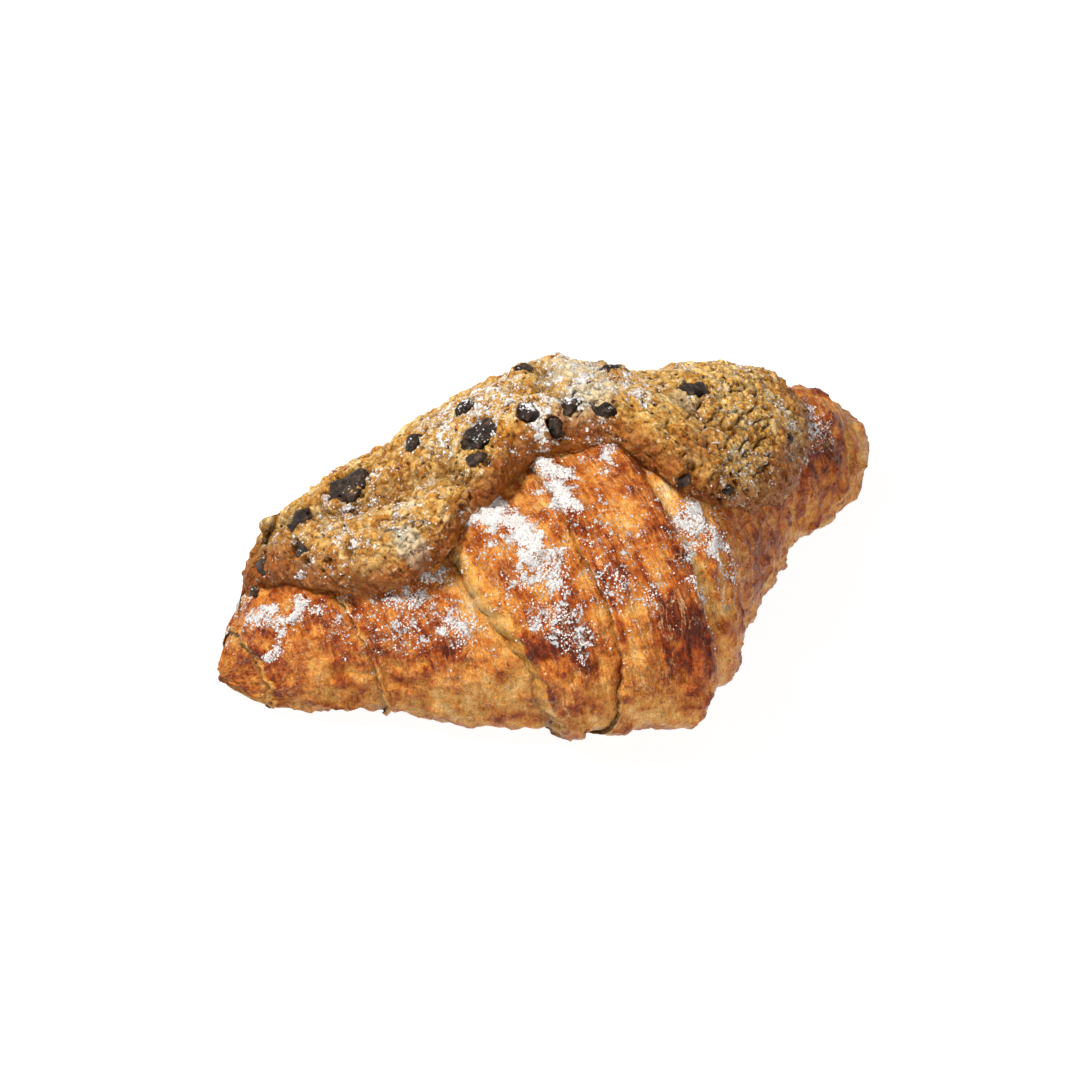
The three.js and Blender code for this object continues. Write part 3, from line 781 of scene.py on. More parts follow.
# %% Where the cookie lies
SLAB = [  # x, front edge and back edge in degrees of turn, thickness
    (-61.3, -30, -44, 12.5),
    (-53, 7, -54, 11),
    (-47, 25, -58, 10),
    (-41, 33, -63, 9.4),
    (-30, 26.5, -74, 9),
    (-20, 13, -80, 9),
    (-4, 1, -76, 9.8),
    (8, 3, -78, 9.6),
    (20, 31, -82, 8.4),
    (34, 50, -74, 8.6),
    (46, 63, -66, 8.2),
    (57, 68, -52, 6.4),
    (67, 52, -30, 4.6),
]
front_at, back_at, thick_at = (curve_through(SLAB, column) for column in (1, 2, 3))
BACK_THINS, THINS_FROM, THINS_TO = 0.3, 12, 45  # share it thins by, between which degrees down the back
SLAB_LEFT, SLAB_RIGHT = SLAB[0][0], SLAB[-1][0]
END_SQUARENESS = 7  # how late the outline starts to close towards its ends
SLAB_ROWS, SLAB_COLUMNS, UNDER_COLUMNS = 410, 225, 8


def ragged(x, seed):
    line = np.stack([x, 0 * x, 0 * x], -1)
    return np.radians(2.2 * bumps(line, 10, seed) + 1.5 * bumps(line, 4.2, seed + 1))


def slab_edges(x):
    t = 2 * (x - SLAB_LEFT) / (SLAB_RIGHT - SLAB_LEFT) - 1
    opening = np.sqrt(np.clip(1 - np.abs(t) ** END_SQUARENESS, 0, 1))
    front = np.radians(front_at(x)) + ragged(x, 51)
    back = np.radians(back_at(x)) + ragged(x, 53)
    middle, reach = (front + back) / 2, (front - back) / 2 * opening
    return middle + reach, middle - reach


def slab_thickness(x, turn):
    return thick_at(x) * (1 - BACK_THINS * smoothstep(THINS_FROM, THINS_TO, -np.degrees(turn)))


def evenly_along_edge(count):
    """Values of x, closer together where the outline turns in, so rows meet it at even steps."""
    x = SLAB_LEFT + (SLAB_RIGHT - SLAB_LEFT) * (0.5 - 0.5 * np.cos(np.linspace(0, math.pi, 5000)))
    edge = skin(x, slab_edges(x)[0])
    path = np.concatenate([[0], np.cumsum(np.linalg.norm(np.diff(edge, axis=0), axis=1))])
    return np.interp(np.linspace(0, path[-1], count), path, x)


outline_x = evenly_along_edge(700)
outline_turn = np.concatenate([slab_edges(outline_x)[0], slab_edges(outline_x)[1][-2:0:-1]])
outline_x = np.concatenate([outline_x, outline_x[-2:0:-1]])
outline = skin(outline_x, outline_turn)
outline_steps = np.linalg.norm(np.diff(outline, axis=0), axis=1)
print("the cookie's outline is", round(float(outline_steps.sum())), "mm long")

# %% [markdown]
# ## The slab's rim and face

# %% Roll the sheet up its rim
RIM_ROUND, UNDERCUT = 6.2, math.radians(38)  # radius of the rim, and how far it turns under
SUNK = 1.2  # the rim's foot is sunk in the croissant's skin, so no gap shows
DRAWN_IN = 1.2  # the rim is drawn in a little, the middle isn't
SMOOTHINGS = 40


def skin_normals(x, turn):
    step = 0.02
    along = skin(x + step, turn) - skin(x - step, turn)
    around = skin(x, turn + step / 10) - skin(x, turn - step / 10)
    normals = np.cross(along, around)
    normals /= np.linalg.norm(normals, axis=-1, keepdims=True) + 1e-9
    return normals * np.where(normals[..., 2:] < 0, -1, 1)


slab_x = evenly_along_edge(SLAB_ROWS + 2)[1:-1]
step = np.linspace(0, 1, SLAB_COLUMNS)
across = 0.55 * step + 0.45 * (0.5 - 0.5 * np.cos(math.pi * step))
slab_front, slab_back = slab_edges(slab_x)
SX = slab_x[:, None] + 0 * across
ST = slab_front[:, None] + (slab_back - slab_front)[:, None] * across
foot = skin(SX, ST)
out = skin(SX, ST, 1.0) - foot  # the slab's thickness is laid off square to the spine

tangent = np.roll(outline, -1, 0) - np.roll(outline, 1, 0)
outline_out = np.cross(skin_normals(outline_x, outline_turn), tangent)
outline_out /= np.linalg.norm(outline_out, axis=-1, keepdims=True) + 1e-9
outline_out *= np.where(np.sum(outline_out * (outline - outline.mean(0)), -1).mean() > 0, 1, -1)
to_edge = np.zeros(SX.shape)
rim_way = np.zeros(foot.shape)
for row in range(SLAB_ROWS):
    away = np.linalg.norm(foot[row][:, None] - outline[None], axis=-1)
    nearest = away.argmin(1)
    to_edge[row] = away[np.arange(SLAB_COLUMNS), nearest]
    rim_way[row] = outline_out[nearest]

bulge = RIM_ROUND * (1 - math.cos(UNDERCUT))
rim_reach = RIM_ROUND - bulge
angle = (math.pi / 2 + UNDERCUT) * np.clip(to_edge / rim_reach, 0, 1) ** 0.9 - UNDERCUT
inset = np.where(to_edge < rim_reach, RIM_ROUND * (1 - np.cos(angle)) - bulge, to_edge)
height = slab_thickness(SX, ST) * (np.sin(angle) + math.sin(UNDERCUT)) / (1 + math.sin(UNDERCUT))
draw_in = DRAWN_IN * (1 - smoothstep(4, 14, to_edge))
shift = rim_way * (to_edge - inset - draw_in)[..., None]
smooth = shift.copy()
for _ in range(SMOOTHINGS):  # far from the rim, where the way out turns round, the shift is evened out
    inner = smooth[:-2, 1:-1] + smooth[2:, 1:-1] + smooth[1:-1, :-2] + smooth[1:-1, 2:] + smooth[1:-1, 1:-1]
    smooth[1:-1, 1:-1] = inner / 5
sheet = foot + shift + (smooth - shift) * smoothstep(1.0, 3.0, to_edge)[..., None]
sheet += out * (height - SUNK * (1 - to_edge.clip(0, 3) / 3))[..., None]
print("cookie thickness", round(float(height.min()), 1), "to", round(float(height.max()), 1), "mm")

# %% [markdown]
# ## Crumb: lumps, grains, cracks and pits
#
# Cookie dough is grainy from sugar and flour lumps. It dries in cracks where it spreads, most of them
# short and running along the slab, and leaves pits where fat boiled off. Each chunk of chocolate sits
# in a little hollow with a raised collar, where the dough slumped round it.

# %% The cookie's surface
CHUNKS = [  # x, turn, length and width on the slab, spin in degrees
    (-36.5, -10, 10, 9, 20),
    (-47, -8, 7.4, 4.6, 25),
    (-48.5, 3, 3.2, 3, 60),
    (-55, -16, 4.4, 5, 0),
    (-22.5, -12.5, 3, 5.4, -10),
    (-11, -17, 5, 3.6, 15),
    (-12.5, -5, 9.4, 6.4, 20),
    (-16, 1.5, 4.6, 3.2, 0),
    (4, -23.5, 4.2, 3.8, 30),
    (-3, -5, 4.4, 4.8, 10),
    (0.5, -1, 3.2, 2.8, 40),
    (5.5, -3.5, 4.4, 2.8, 0),
    (10.5, 0.5, 6, 3.4, -40),
    (19.5, -15.5, 6.4, 3, 10),
    (33, 2, 7.4, 4, -25),
    (19, 25, 3.6, 2.6, 30),
    (27, 37, 4.4, 3.4, 15),
    (51.5, 36, 2.8, 2.4, 0),
    (-40, -50, 6.4, 5, 70),
    (-24, -64, 7.4, 6, 15),
    (-6, -60, 5, 6.8, 40),
    (10, -68, 8, 6, -30),
    (27, -62, 5.4, 4.4, 10),
    (42, -58, 6.6, 5.4, 45),
    (18, -76, 4.6, 4, 0),
]


def chunk_frame(number):
    """A chunk's centre in millimetres and its axes: along it, across it and out of the slab."""
    x, turn, _, _, spin = CHUNKS[number]
    low, high = (np.array(corner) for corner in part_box(f"chocolate_chunk_{number + 1:02d}"))
    normal = skin_normals(np.array([float(x)]), np.array([math.radians(turn)]))[0]
    along = np.array([1.0, 0, 0]) - normal * normal[0]
    along /= np.linalg.norm(along)
    side = np.cross(normal, along)
    spun = math.radians(spin)
    return (from_frame((low + high) / 2), along * math.cos(spun) + side * math.sin(spun),
            side * math.cos(spun) - along * math.sin(spun), normal)


def round_chunks(points):
    """1 at a chunk's middle falling to 0 at its edge and under 0 beyond, for the nearest chunk."""
    most = np.full(points.shape[:-1], -9.0)
    for number, (_, _, long, wide, _) in enumerate(CHUNKS):
        centre, along, across, normal = chunk_frame(number)
        a = np.sum((points - centre) * along, -1) / (long / 2)
        b = np.sum((points - centre) * across, -1) / (wide / 2)
        depth = np.sum((points - centre) * normal, -1) / 6
        most = np.maximum(most, 1 - np.sqrt(a * a + b * b + depth * depth))
    return most


def groove(x, turn, line, width):
    """1 along a line of (x, turn) points on the slab, falling off to 0 at `width` mm from it."""
    nearest = np.full(x.shape, 99.0)
    for (x0, t0), (x1, t1) in zip(line, line[1:]):
        ax, ay = x - x0, 28 * (turn - math.radians(t0))
        bx, by = x1 - x0, 28 * math.radians(t1 - t0)
        along = np.clip((ax * bx + ay * by) / (bx * bx + by * by), 0, 1)
        nearest = np.minimum(nearest, np.hypot(ax - along * bx, ay - along * by))
    return np.exp(-((nearest / width) ** 2))


sheet_normals = grid_normals(sheet)
sheet_normals *= math.copysign(1, np.sum(sheet_normals * out, -1).mean())
rim = 1 - smoothstep(0.35, 1.0, to_edge / rim_reach)
stands = smoothstep(0.02, 0.3, to_edge / rim_reach)
FOLDS = [
    [(-55, -26), (-49.6, -12.5), (-46.6, -4), (-41, 1.5), (-35.5, 1.5), (-31, -0.5), (-26, 1.5)],
    [(-19, -6), (-22, 1), (-20, 6)],
    [(8, -22), (4, -12), (5, -4)],
    [(26, -12), (30, 8), (36, 22)],
]
folded = np.max([groove(SX, ST, line, 1.9) for line in FOLDS], axis=0)
lumps = 0.95 * bumps(sheet, 13, 61) + 0.8 * bumps(sheet, 6.5, 62) + 0.45 * bumps(sheet, 3.4, 63)
lumps += patches(SX, ST, [(-38, 15, 10, 10, 1.6), (-52, -6, 5, 9, 0.8), (-2, -30, 13, 16, 1.3),
                          (15, -30, 10, 14, 1.8)])
lumps -= patches(SX, ST, [(29, -22, 6, 16, 0.8), (-16, -50, 14, 16, 0.6)])
shaken = sheet + 0.55 * np.stack([bumps(sheet, 1.7, seed) for seed in (74, 75, 76)], -1)
near, second = cells(shaken, 2.7, 64)
fine_near, fine_second = cells(shaken, 1.3, 65)
coarse = 0.55 + 0.45 * smoothstep(-0.35, 0.25, bumps(sheet, 9, 77))  # some dough is crumbly, some smoother
grains = 0.58 * coarse * (smoothstep(0, 0.5, second - near) - 0.7)
grains += 0.26 * coarse * (smoothstep(0, 0.45, fine_second - fine_near) - 0.65)
grains += 0.22 * bumps(sheet, 1.5, 78)
slab_map = np.stack([SX, 42 * ST, 0 * SX], -1)
crack_noise = np.abs(bumps(slab_map, (8, 4.4, 1), 66) + 0.5 * bumps(sheet, 2.6, 67))
dry = patches(SX, ST, [(40, 24, 20, 26, 0.85), (-34, 6, 10, 16, 0.5), (20, -20, 5, 20, 0.8),
                       (-30, -50, 20, 20, 0.6), (20, -56, 26, 18, 0.7)])
gate = smoothstep(0.25, 0.6, dry + 0.9 * bumps(sheet, 4.5, 68))
cracked = smoothstep(0.12, 0.03, crack_noise) * gate
crack_lip = smoothstep(0.34, 0.16, crack_noise) * gate - cracked
pit_near, _ = cells(sheet, 3.2, 69)
pitted = smoothstep(0.24, 0.12, pit_near + 0.06 * bumps(sheet, 1.2, 70))
pitted *= smoothstep(-0.1, 0.2, bumps(sheet, 8, 71))
chunk = round_chunks(sheet + sheet_normals * lumps[..., None])
chunk = chunk + 0.32 * bumps(sheet, 2.4, 72) + 0.14 * bumps(sheet, 1.1, 73)
collar = 0.6 * np.exp(-(((chunk + 0.22) / 0.18) ** 2)) - 1.5 * smoothstep(-0.05, 0.12, chunk)
rise = lumps + grains - 1.2 * cracked - 1.5 * pitted - 2.2 * folded + collar
cookie_sheet = sheet + sheet_normals * (rise * stands)[..., None]
print("the crumb stands", round(float(rise.min()), 2), "to", round(float(rise.max()), 2), "mm off the slab")

# %% [markdown]
# ## The cookie's mesh
#
# The sheet is closed by a coarse underside, sunk in the croissant where nobody sees it, and by one
# point at each end.

# %% Cookie mesh
SUGAR_ON_COOKIE = [
    (-12, -14, 14, 14, 0.5),
    (-5, -22, 8, 8, 0.56),
    (0, -6, 5, 7, 0.6),
    (8, -4, 7, 5, 0.46),
    (12, -12, 10, 14, 0.5),
    (14, -27, 12, 9, 0.5),
    (40, -18, 10, 9, 0.34),
    (18, -6, 12, 10, 0.46),
    (36, 8, 16, 18, 0.13),
    (54, -10, 5, 12, 0.42),
    (56, 30, 4, 30, 0.34),
    (30, 36, 14, 10, 0.2),
    (-34, -4, 6, 7, 0.34),
    (-44, 4, 9, 12, 0.34),
    (-36, 12, 14, 16, 0.24),
    (-54, -16, 6, 16, 0.24),
    (-22, -8, 8, 14, 0.24),
    (-30, -50, 16, 20, 0.4),
    (0, -52, 18, 14, 0.46),
    (34, -50, 16, 16, 0.4),
]
PALE_ON_COOKIE = [
    (-34, 21.5, 2.6, 4.2, 1.3),
    (-31, 9.5, 2.0, 2.6, 0.7),
    (-41, 3.5, 1.6, 3, 0.6),
    (12, -17, 9, 9, 0.6),
    (9, -4, 9, 6, 0.7),
    (30, 4, 7, 6, 0.5),
    (36, -12, 5, 4, 0.4),
    (-4, -50, 6, 8, 0.5),
    (30, -56, 6, 8, 0.4),
]
TOASTED = [(50, 56, 16, 18, 1.0), (22, 22, 9, 9, 0.6), (64, 20, 5, 30, 0.6), (-38, 6, 18, 22, 0.22)]
under_step = np.linspace(0, 1, UNDER_COLUMNS + 2)[1:-1]
under_turn = slab_front[:, None] + (slab_back - slab_front)[:, None] * under_step
under_sheet = skin(slab_x[:, None] + 0 * under_step, under_turn, -2.6)
ring = np.concatenate([cookie_sheet, under_sheet[:, ::-1]], axis=1)
cookie_faces = [face[::-1] for face in ring_faces(SLAB_ROWS, SLAB_COLUMNS + UNDER_COLUMNS)]  # to face out
ends = [skin(np.array([x]), slab_edges(np.array([x]))[0], -SUNK)[0] for x in (SLAB_LEFT, SLAB_RIGHT)]


def over_ring(values):
    """Values on the sheet carried onto the closed ring: the underside takes the rim's value."""
    hidden = np.repeat(values[:, :1], UNDER_COLUMNS, axis=1)
    values = np.concatenate([values, hidden], axis=1)
    return with_ends(values, values[0].mean(), values[-1].mean())


# The hollows between grains and in cracks, pits and folds go to the material, which paints them dark as
# shade.
between_grains = 0.7 * coarse * smoothstep(0.14, 0.02, second - near)
between_grains += 0.45 * coarse * smoothstep(0.16, 0.02, fine_second - fine_near)
hollow_shade = np.clip(cracked + pitted + 0.5 * folded + between_grains, 0, 1) * stands
cookie_values = dict(
    rim=over_ring(np.maximum(rim, patches(SX, ST, TOASTED))),
    hollow_shade=over_ring(hollow_shade),
    pale=over_ring(patches(SX, ST, PALE_ON_COOKIE)),
    sugar=over_ring((sugar_on(sheet, SX, ST, SUGAR_ON_COOKIE) + 0.2 * crack_lip) * stands),
)
cookie = new_piece("cookie_slab", to_frame(with_ends(ring, *ends)), cookie_faces, cookie_values)
print("cookie faces:", len(cookie.data.polygons))

# %% [markdown]
# ## Finish: baked cookie dough
#
# Brown sugar and butter dough is golden tan, a little translucent and damp where the butter is, so it
# has small glints, and more are painted on as pale specks. The rim and high grains toast to
# orange-brown, hollows, pores and the gaps between crumbs are painted dark as shade, and lumps of
# flour that never mixed in show as pale cream patches.

# %% The cookie material
crumb, tree = new_material("baked_cookie_dough")
place = add_node(tree, "ShaderNodeTexCoord").outputs["Object"]
rim_part, hollow_shade_part, pale_part, sugar_part = (
    add_node(tree, "ShaderNodeAttribute", attribute_name=name).outputs["Fac"]
    for name in ("rim", "hollow_shade", "pale", "sugar"))
tone = add_node(tree, "ShaderNodeTexNoise", {
    "Vector": place, "Scale": mm / 7, "Detail": 6.0, "Roughness": 0.7})
crystal = add_node(tree, "ShaderNodeTexNoise", {
    "Vector": place, "Scale": mm / 0.9, "Detail": 4.0, "Roughness": 0.7})
wobble = add_node(tree, "ShaderNodeTexNoise", {"Vector": place, "Scale": mm / 1.8, "Detail": 3.0})
wobble = add_node(tree, "ShaderNodeVectorMath", {
    0: wobble.outputs["Color"], "Scale": 0.0016}, operation="SCALE")
shaken_place = add_node(tree, "ShaderNodeVectorMath", {0: place, 1: wobble}, operation="ADD")
GRIT = 1.7  # millimetres, a crumb of dough
grit = add_node(tree, "ShaderNodeTexVoronoi", {"Vector": shaken_place, "Scale": mm / GRIT})
grit_tone = add_node(tree, "ShaderNodeSeparateColor", {"Color": grit.outputs["Color"]})
grit_gap = add_node(tree, "ShaderNodeTexVoronoi", {
    "Vector": shaken_place, "Scale": mm / GRIT}, feature="DISTANCE_TO_EDGE")
tone_mix = tone
for pattern, share in ((crystal, 1.1), (rim_part, 0.14), (grit_tone, 0.30)):
    tone_mix = add_node(tree, "ShaderNodeMath", {
        0: pattern, 1: share, 2: tone_mix}, operation="MULTIPLY_ADD")
MEAN_TONE = 0.83  # the patterns' middle, taken off again so that the ramp starts at 0
tone_mix = add_node(tree, "ShaderNodeMath", {0: tone_mix, 1: MEAN_TONE}, operation="SUBTRACT")
dough_colour = add_node(tree, "ShaderNodeValToRGB", {"Fac": tone_mix}, stops=[
    (0.10, "#f3daa6"),
    (0.28, "#e2bb6c"),
    (0.46, "#ce9840"),
    (0.62, "#ac7020"),
    (0.85, "#74400a"),
])
cream = add_node(tree, "ShaderNodeMapRange", {
    "Value": add_node(tree, "ShaderNodeMath", {0: crystal, 1: 0.5, 2: pale_part}, operation="MULTIPLY_ADD"),
    "From Min": 0.5, "From Max": 0.95}, interpolation_type="SMOOTHSTEP")
pore = add_node(tree, "ShaderNodeTexVoronoi", {"Vector": place, "Scale": mm / 2.6})
pore = add_node(tree, "ShaderNodeMapRange", {
    "Value": pore, "From Min": 0.2, "From Max": 0.08}, interpolation_type="SMOOTHSTEP")
# Painted shade: hollows, cracks, pits, folds and pores are darkened here.
hollow_and_pore_shade = add_node(tree, "ShaderNodeMath", {
    0: hollow_shade_part, 1: 0.75, 2: pore}, operation="MULTIPLY_ADD", use_clamp=True)
rim_brown = add_node(tree, "ShaderNodeMath", {0: rim_part, 1: 0.78}, operation="MULTIPLY", use_clamp=True)
# Between the grains the dough is painted dark as shade, and here and there a pale speck stands for a bare
# sugar crystal and is painted as a glint where it catches light.
crumbs = add_node(tree, "ShaderNodeTexNoise", {
    "Vector": place, "Scale": mm / 2.2, "Detail": 5.0, "Roughness": 0.7})
crumb_gap_shade = add_node(tree, "ShaderNodeMath", {0: grit_gap, 1: 0.5, 2: crumbs}, operation="MULTIPLY_ADD")
crumb_gap_shade = add_node(tree, "ShaderNodeMapRange", {
    "Value": crumb_gap_shade, "From Min": 0.47, "From Max": 0.38, "To Max": 0.85}, interpolation_type="SMOOTHSTEP")
glint = add_node(tree, "ShaderNodeMapRange", {
    "Value": crumbs, "From Min": 0.60, "From Max": 0.68, "To Max": 0.8}, interpolation_type="SMOOTHSTEP")
# Of these, the hollows, pores and crumb gaps are painted shade and the glint is a painted highlight; the
# cream patches and toasted rim are the dough's own colour.
for part, shade in (
    (cream, "#e2d6b2"),
    (hollow_and_pore_shade, "#3c1b06"),
    (rim_brown, "#8a4410"),
    (crumb_gap_shade, "#5e2f08"),
    (glint, "#f1e0c4"),
):
    dough_colour = add_node(tree, "ShaderNodeMix", {
        0: part, 6: dough_colour, 7: colour(shade)}, data_type="RGBA").outputs[2]

cover = sifted(tree, place, sugar_part)
# The sugar on the cookie is whiter than on the crust: partly its own colour, and partly a painted highlight
# for glints on the damp crumb.
cookie_colour = add_node(tree, "ShaderNodeMix", {
    0: cover, 6: dough_colour, 7: colour("#eaebee")}, data_type="RGBA").outputs[2]

gloss = add_node(tree, "ShaderNodeMapRange", {
    "Value": crystal, "From Min": 0.35, "From Max": 0.65, "To Min": 0.22, "To Max": 0.55})
gloss = add_node(tree, "ShaderNodeMath", {
    0: cover, 1: 0.4, 2: gloss}, operation="MULTIPLY_ADD", use_clamp=True)
relief = add_node(tree, "ShaderNodeBump", {
    "Height": crystal, "Distance": 0.0008, "Strength": 1.0}, invert=True)
relief = add_node(tree, "ShaderNodeBump", {
    "Height": crumbs, "Distance": 0.0018, "Strength": 1.0, "Normal": relief})
relief = add_node(tree, "ShaderNodeBump", {
    "Height": grit, "Distance": 0.0012, "Strength": 1.0, "Normal": relief}, invert=True)
relief = add_node(tree, "ShaderNodeBump", {
    "Height": cover, "Distance": 0.0003, "Strength": 1.0, "Normal": relief})
shader = add_node(tree, "ShaderNodeBsdfPrincipled", {
    "Base Color": cookie_colour, "Roughness": gloss, "Normal": relief, "IOR": 1.42,
    "Specular IOR Level": 0.22, "Coat Weight": 0.28, "Coat Roughness": 0.1, "Coat Normal": relief,
    "Subsurface Weight": 0.12, "Subsurface Radius": (0.0022, 0.0012, 0.0005), "Subsurface Scale": 1.0})
add_node(tree, "ShaderNodeOutputMaterial", {"Surface": shader})
cookie.data.materials.append(crumb)
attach(cookie, "root")
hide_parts("cookie_topping")

# %% [markdown]
# ## Dark chocolate chunks
#
# Chopped chocolate melts only at its corners, so a chunk keeps its block shape and gets a soft, crazed
# skin. Each CAD chunk is copied, its loose triangles merged, subdivided to round the corners, and then
# roughened with noise. One crumb of chocolate fell beside the slab and is made the same way.

# %% Chocolate pieces
CHUNK_STANDS = 1.12  # how much a chunk swells over its CAD solid, which the dough hides most of
CHUNK_DUSTING = 0.8  # sugar holds less well on smooth chocolate than on the crumb beside it
MOST_SHIFT, SUNK_SHARE = 1.8, 0.7  # millimetres a chunk may follow the crumb, and how deep its middle sits


def follow_crumb(number):
    """The step that seats a chunk in the crumb as it rose, along the chunk's own way out."""
    centre, _, _, normal = chunk_frame(number)
    away = cookie_sheet - centre
    height = np.sum(away * normal, -1)
    beside = np.linalg.norm(away - height[..., None] * normal, axis=-1)
    ring = (beside < 4.5) & (beside > 2.5) & (np.abs(height) < 8)
    top = float(np.median(height[ring])) if ring.any() else SUNK_SHARE
    return normal * float(np.clip(top - SUNK_SHARE, -MOST_SHIFT, MOST_SHIFT))


def refined_copy(node_name, piece_name, levels, roughness, seed, seat, dusting):
    source = bpy.data.objects[node_name].data
    body = bmesh.new()
    body.from_mesh(source)
    bmesh.ops.remove_doubles(body, verts=body.verts, dist=1e-6)
    mesh = bpy.data.meshes.new(piece_name)
    body.to_mesh(mesh)
    body.free()
    piece = bpy.data.objects.new(piece_name, mesh)
    bpy.context.scene.collection.objects.link(piece)
    rounding = piece.modifiers.new("rounding", "SUBSURF")
    rounding.subdivision_type = "SIMPLE"
    rounding.levels = rounding.render_levels = levels
    bpy.context.view_layer.update()
    finished = bpy.data.meshes.new_from_object(piece.evaluated_get(bpy.context.evaluated_depsgraph_get()))
    piece.modifiers.clear()
    piece.data = finished
    points = np.zeros(3 * len(finished.vertices), np.float32)
    normals = np.zeros_like(points)
    finished.vertices.foreach_get("co", points)
    finished.vertices.foreach_get("normal", normals)
    here = from_frame(points.reshape(-1, 3).astype(float))
    here = here.mean(0) + CHUNK_STANDS * (here - here.mean(0)) + seat
    normals = normals.reshape(-1, 3)
    near, _ = cells(here, 2.4, seed)
    noise = 0.1 + 1.2 * bumps(here, 2.6, seed) + 0.6 * bumps(here, 1.2, seed + 1) + 1.0 * (0.5 - near)
    lift = roughness * noise
    finished.vertices.foreach_set("co", to_frame(here + normals * lift[:, None]).ravel())
    layer = finished.attributes.new("sugar", "FLOAT", "POINT")
    facing_up = smoothstep(0.3, 0.9, normals[:, 2] + 0.35 * bumps(here, 1.6, seed + 2))
    layer.data.foreach_set("value", (dusting * facing_up).astype(np.float32))
    finished.polygons.foreach_set("use_smooth", [True] * len(finished.polygons))
    finished.update()
    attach(piece, "root")
    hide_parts(node_name)
    return piece


chocolate, tree = new_material("melted_dark_chocolate")
place = add_node(tree, "ShaderNodeTexCoord").outputs["Object"]
craze = add_node(tree, "ShaderNodeTexNoise", {
    "Vector": place, "Scale": mm / 1.6, "Detail": 5.0, "Roughness": 0.65})
dark = add_node(tree, "ShaderNodeValToRGB", {"Fac": craze}, stops=[
    (0.32, "#0a0505"),
    (0.52, "#1e130f"),
    (0.68, "#584436"),
])
cover = sifted(tree, place, add_node(tree, "ShaderNodeAttribute", attribute_name="sugar").outputs["Fac"])
dusty = add_node(tree, "ShaderNodeMix", {0: cover, 6: dark, 7: SUGAR_WHITE}, data_type="RGBA").outputs[2]
gloss = add_node(tree, "ShaderNodeMapRange", {
    "Value": craze, "From Min": 0.3, "From Max": 0.7, "To Min": 0.28, "To Max": 0.65})
relief = add_node(tree, "ShaderNodeBump", {"Height": craze, "Distance": 0.0014, "Strength": 1.0})
shader = add_node(tree, "ShaderNodeBsdfPrincipled", {
    "Base Color": dusty, "Roughness": gloss, "Normal": relief, "IOR": 1.45, "Specular IOR Level": 0.4})
add_node(tree, "ShaderNodeOutputMaterial", {"Surface": shader})

for number, (x, turn, long, _, _) in enumerate(CHUNKS):
    dusting = CHUNK_DUSTING * float(patches(np.array([x]), np.radians([turn]), SUGAR_ON_COOKIE)[0])
    name = f"{number + 1:02d}"
    piece = refined_copy(
        "chocolate_chunk_" + name, "dark_chocolate_" + name, 3 if long > 7 else 2, 0.6, 81 + number,
        follow_crumb(number), dusting)
    piece.data.materials.append(chocolate)
fallen = refined_copy("chocolate_crumb", "fallen_chocolate_crumb", 2, 0.3, 79, 0.0, 0.2)
fallen.data.materials.append(chocolate)
print("chunks of chocolate:", len(CHUNKS))

# %% [markdown]
# ## Loose icing sugar
#
# Seen close, icing sugar is thousands of crumbs of fine crystals. They are scattered by a Geometry
# Nodes tree, which is made for this: it reads how much sugar lies at each place of a surface, drops
# points there, and puts a small eight-sided crystal on each, turned and sized at random.

# %% The tree that scatters sugar
icing, tree = new_material("sifted_icing_sugar")
place = add_node(tree, "ShaderNodeTexCoord").outputs["Object"]
shade = add_node(tree, "ShaderNodeTexNoise", {"Vector": place, "Scale": mm / 3, "Detail": 2.0})
white = add_node(tree, "ShaderNodeValToRGB", {"Fac": shade}, stops=[(0.3, "#c6c7cb"), (0.7, "#dbdcdf")])
shader = add_node(tree, "ShaderNodeBsdfPrincipled", {"Base Color": white, "Roughness": 0.85})
add_node(tree, "ShaderNodeOutputMaterial", {"Surface": shader})


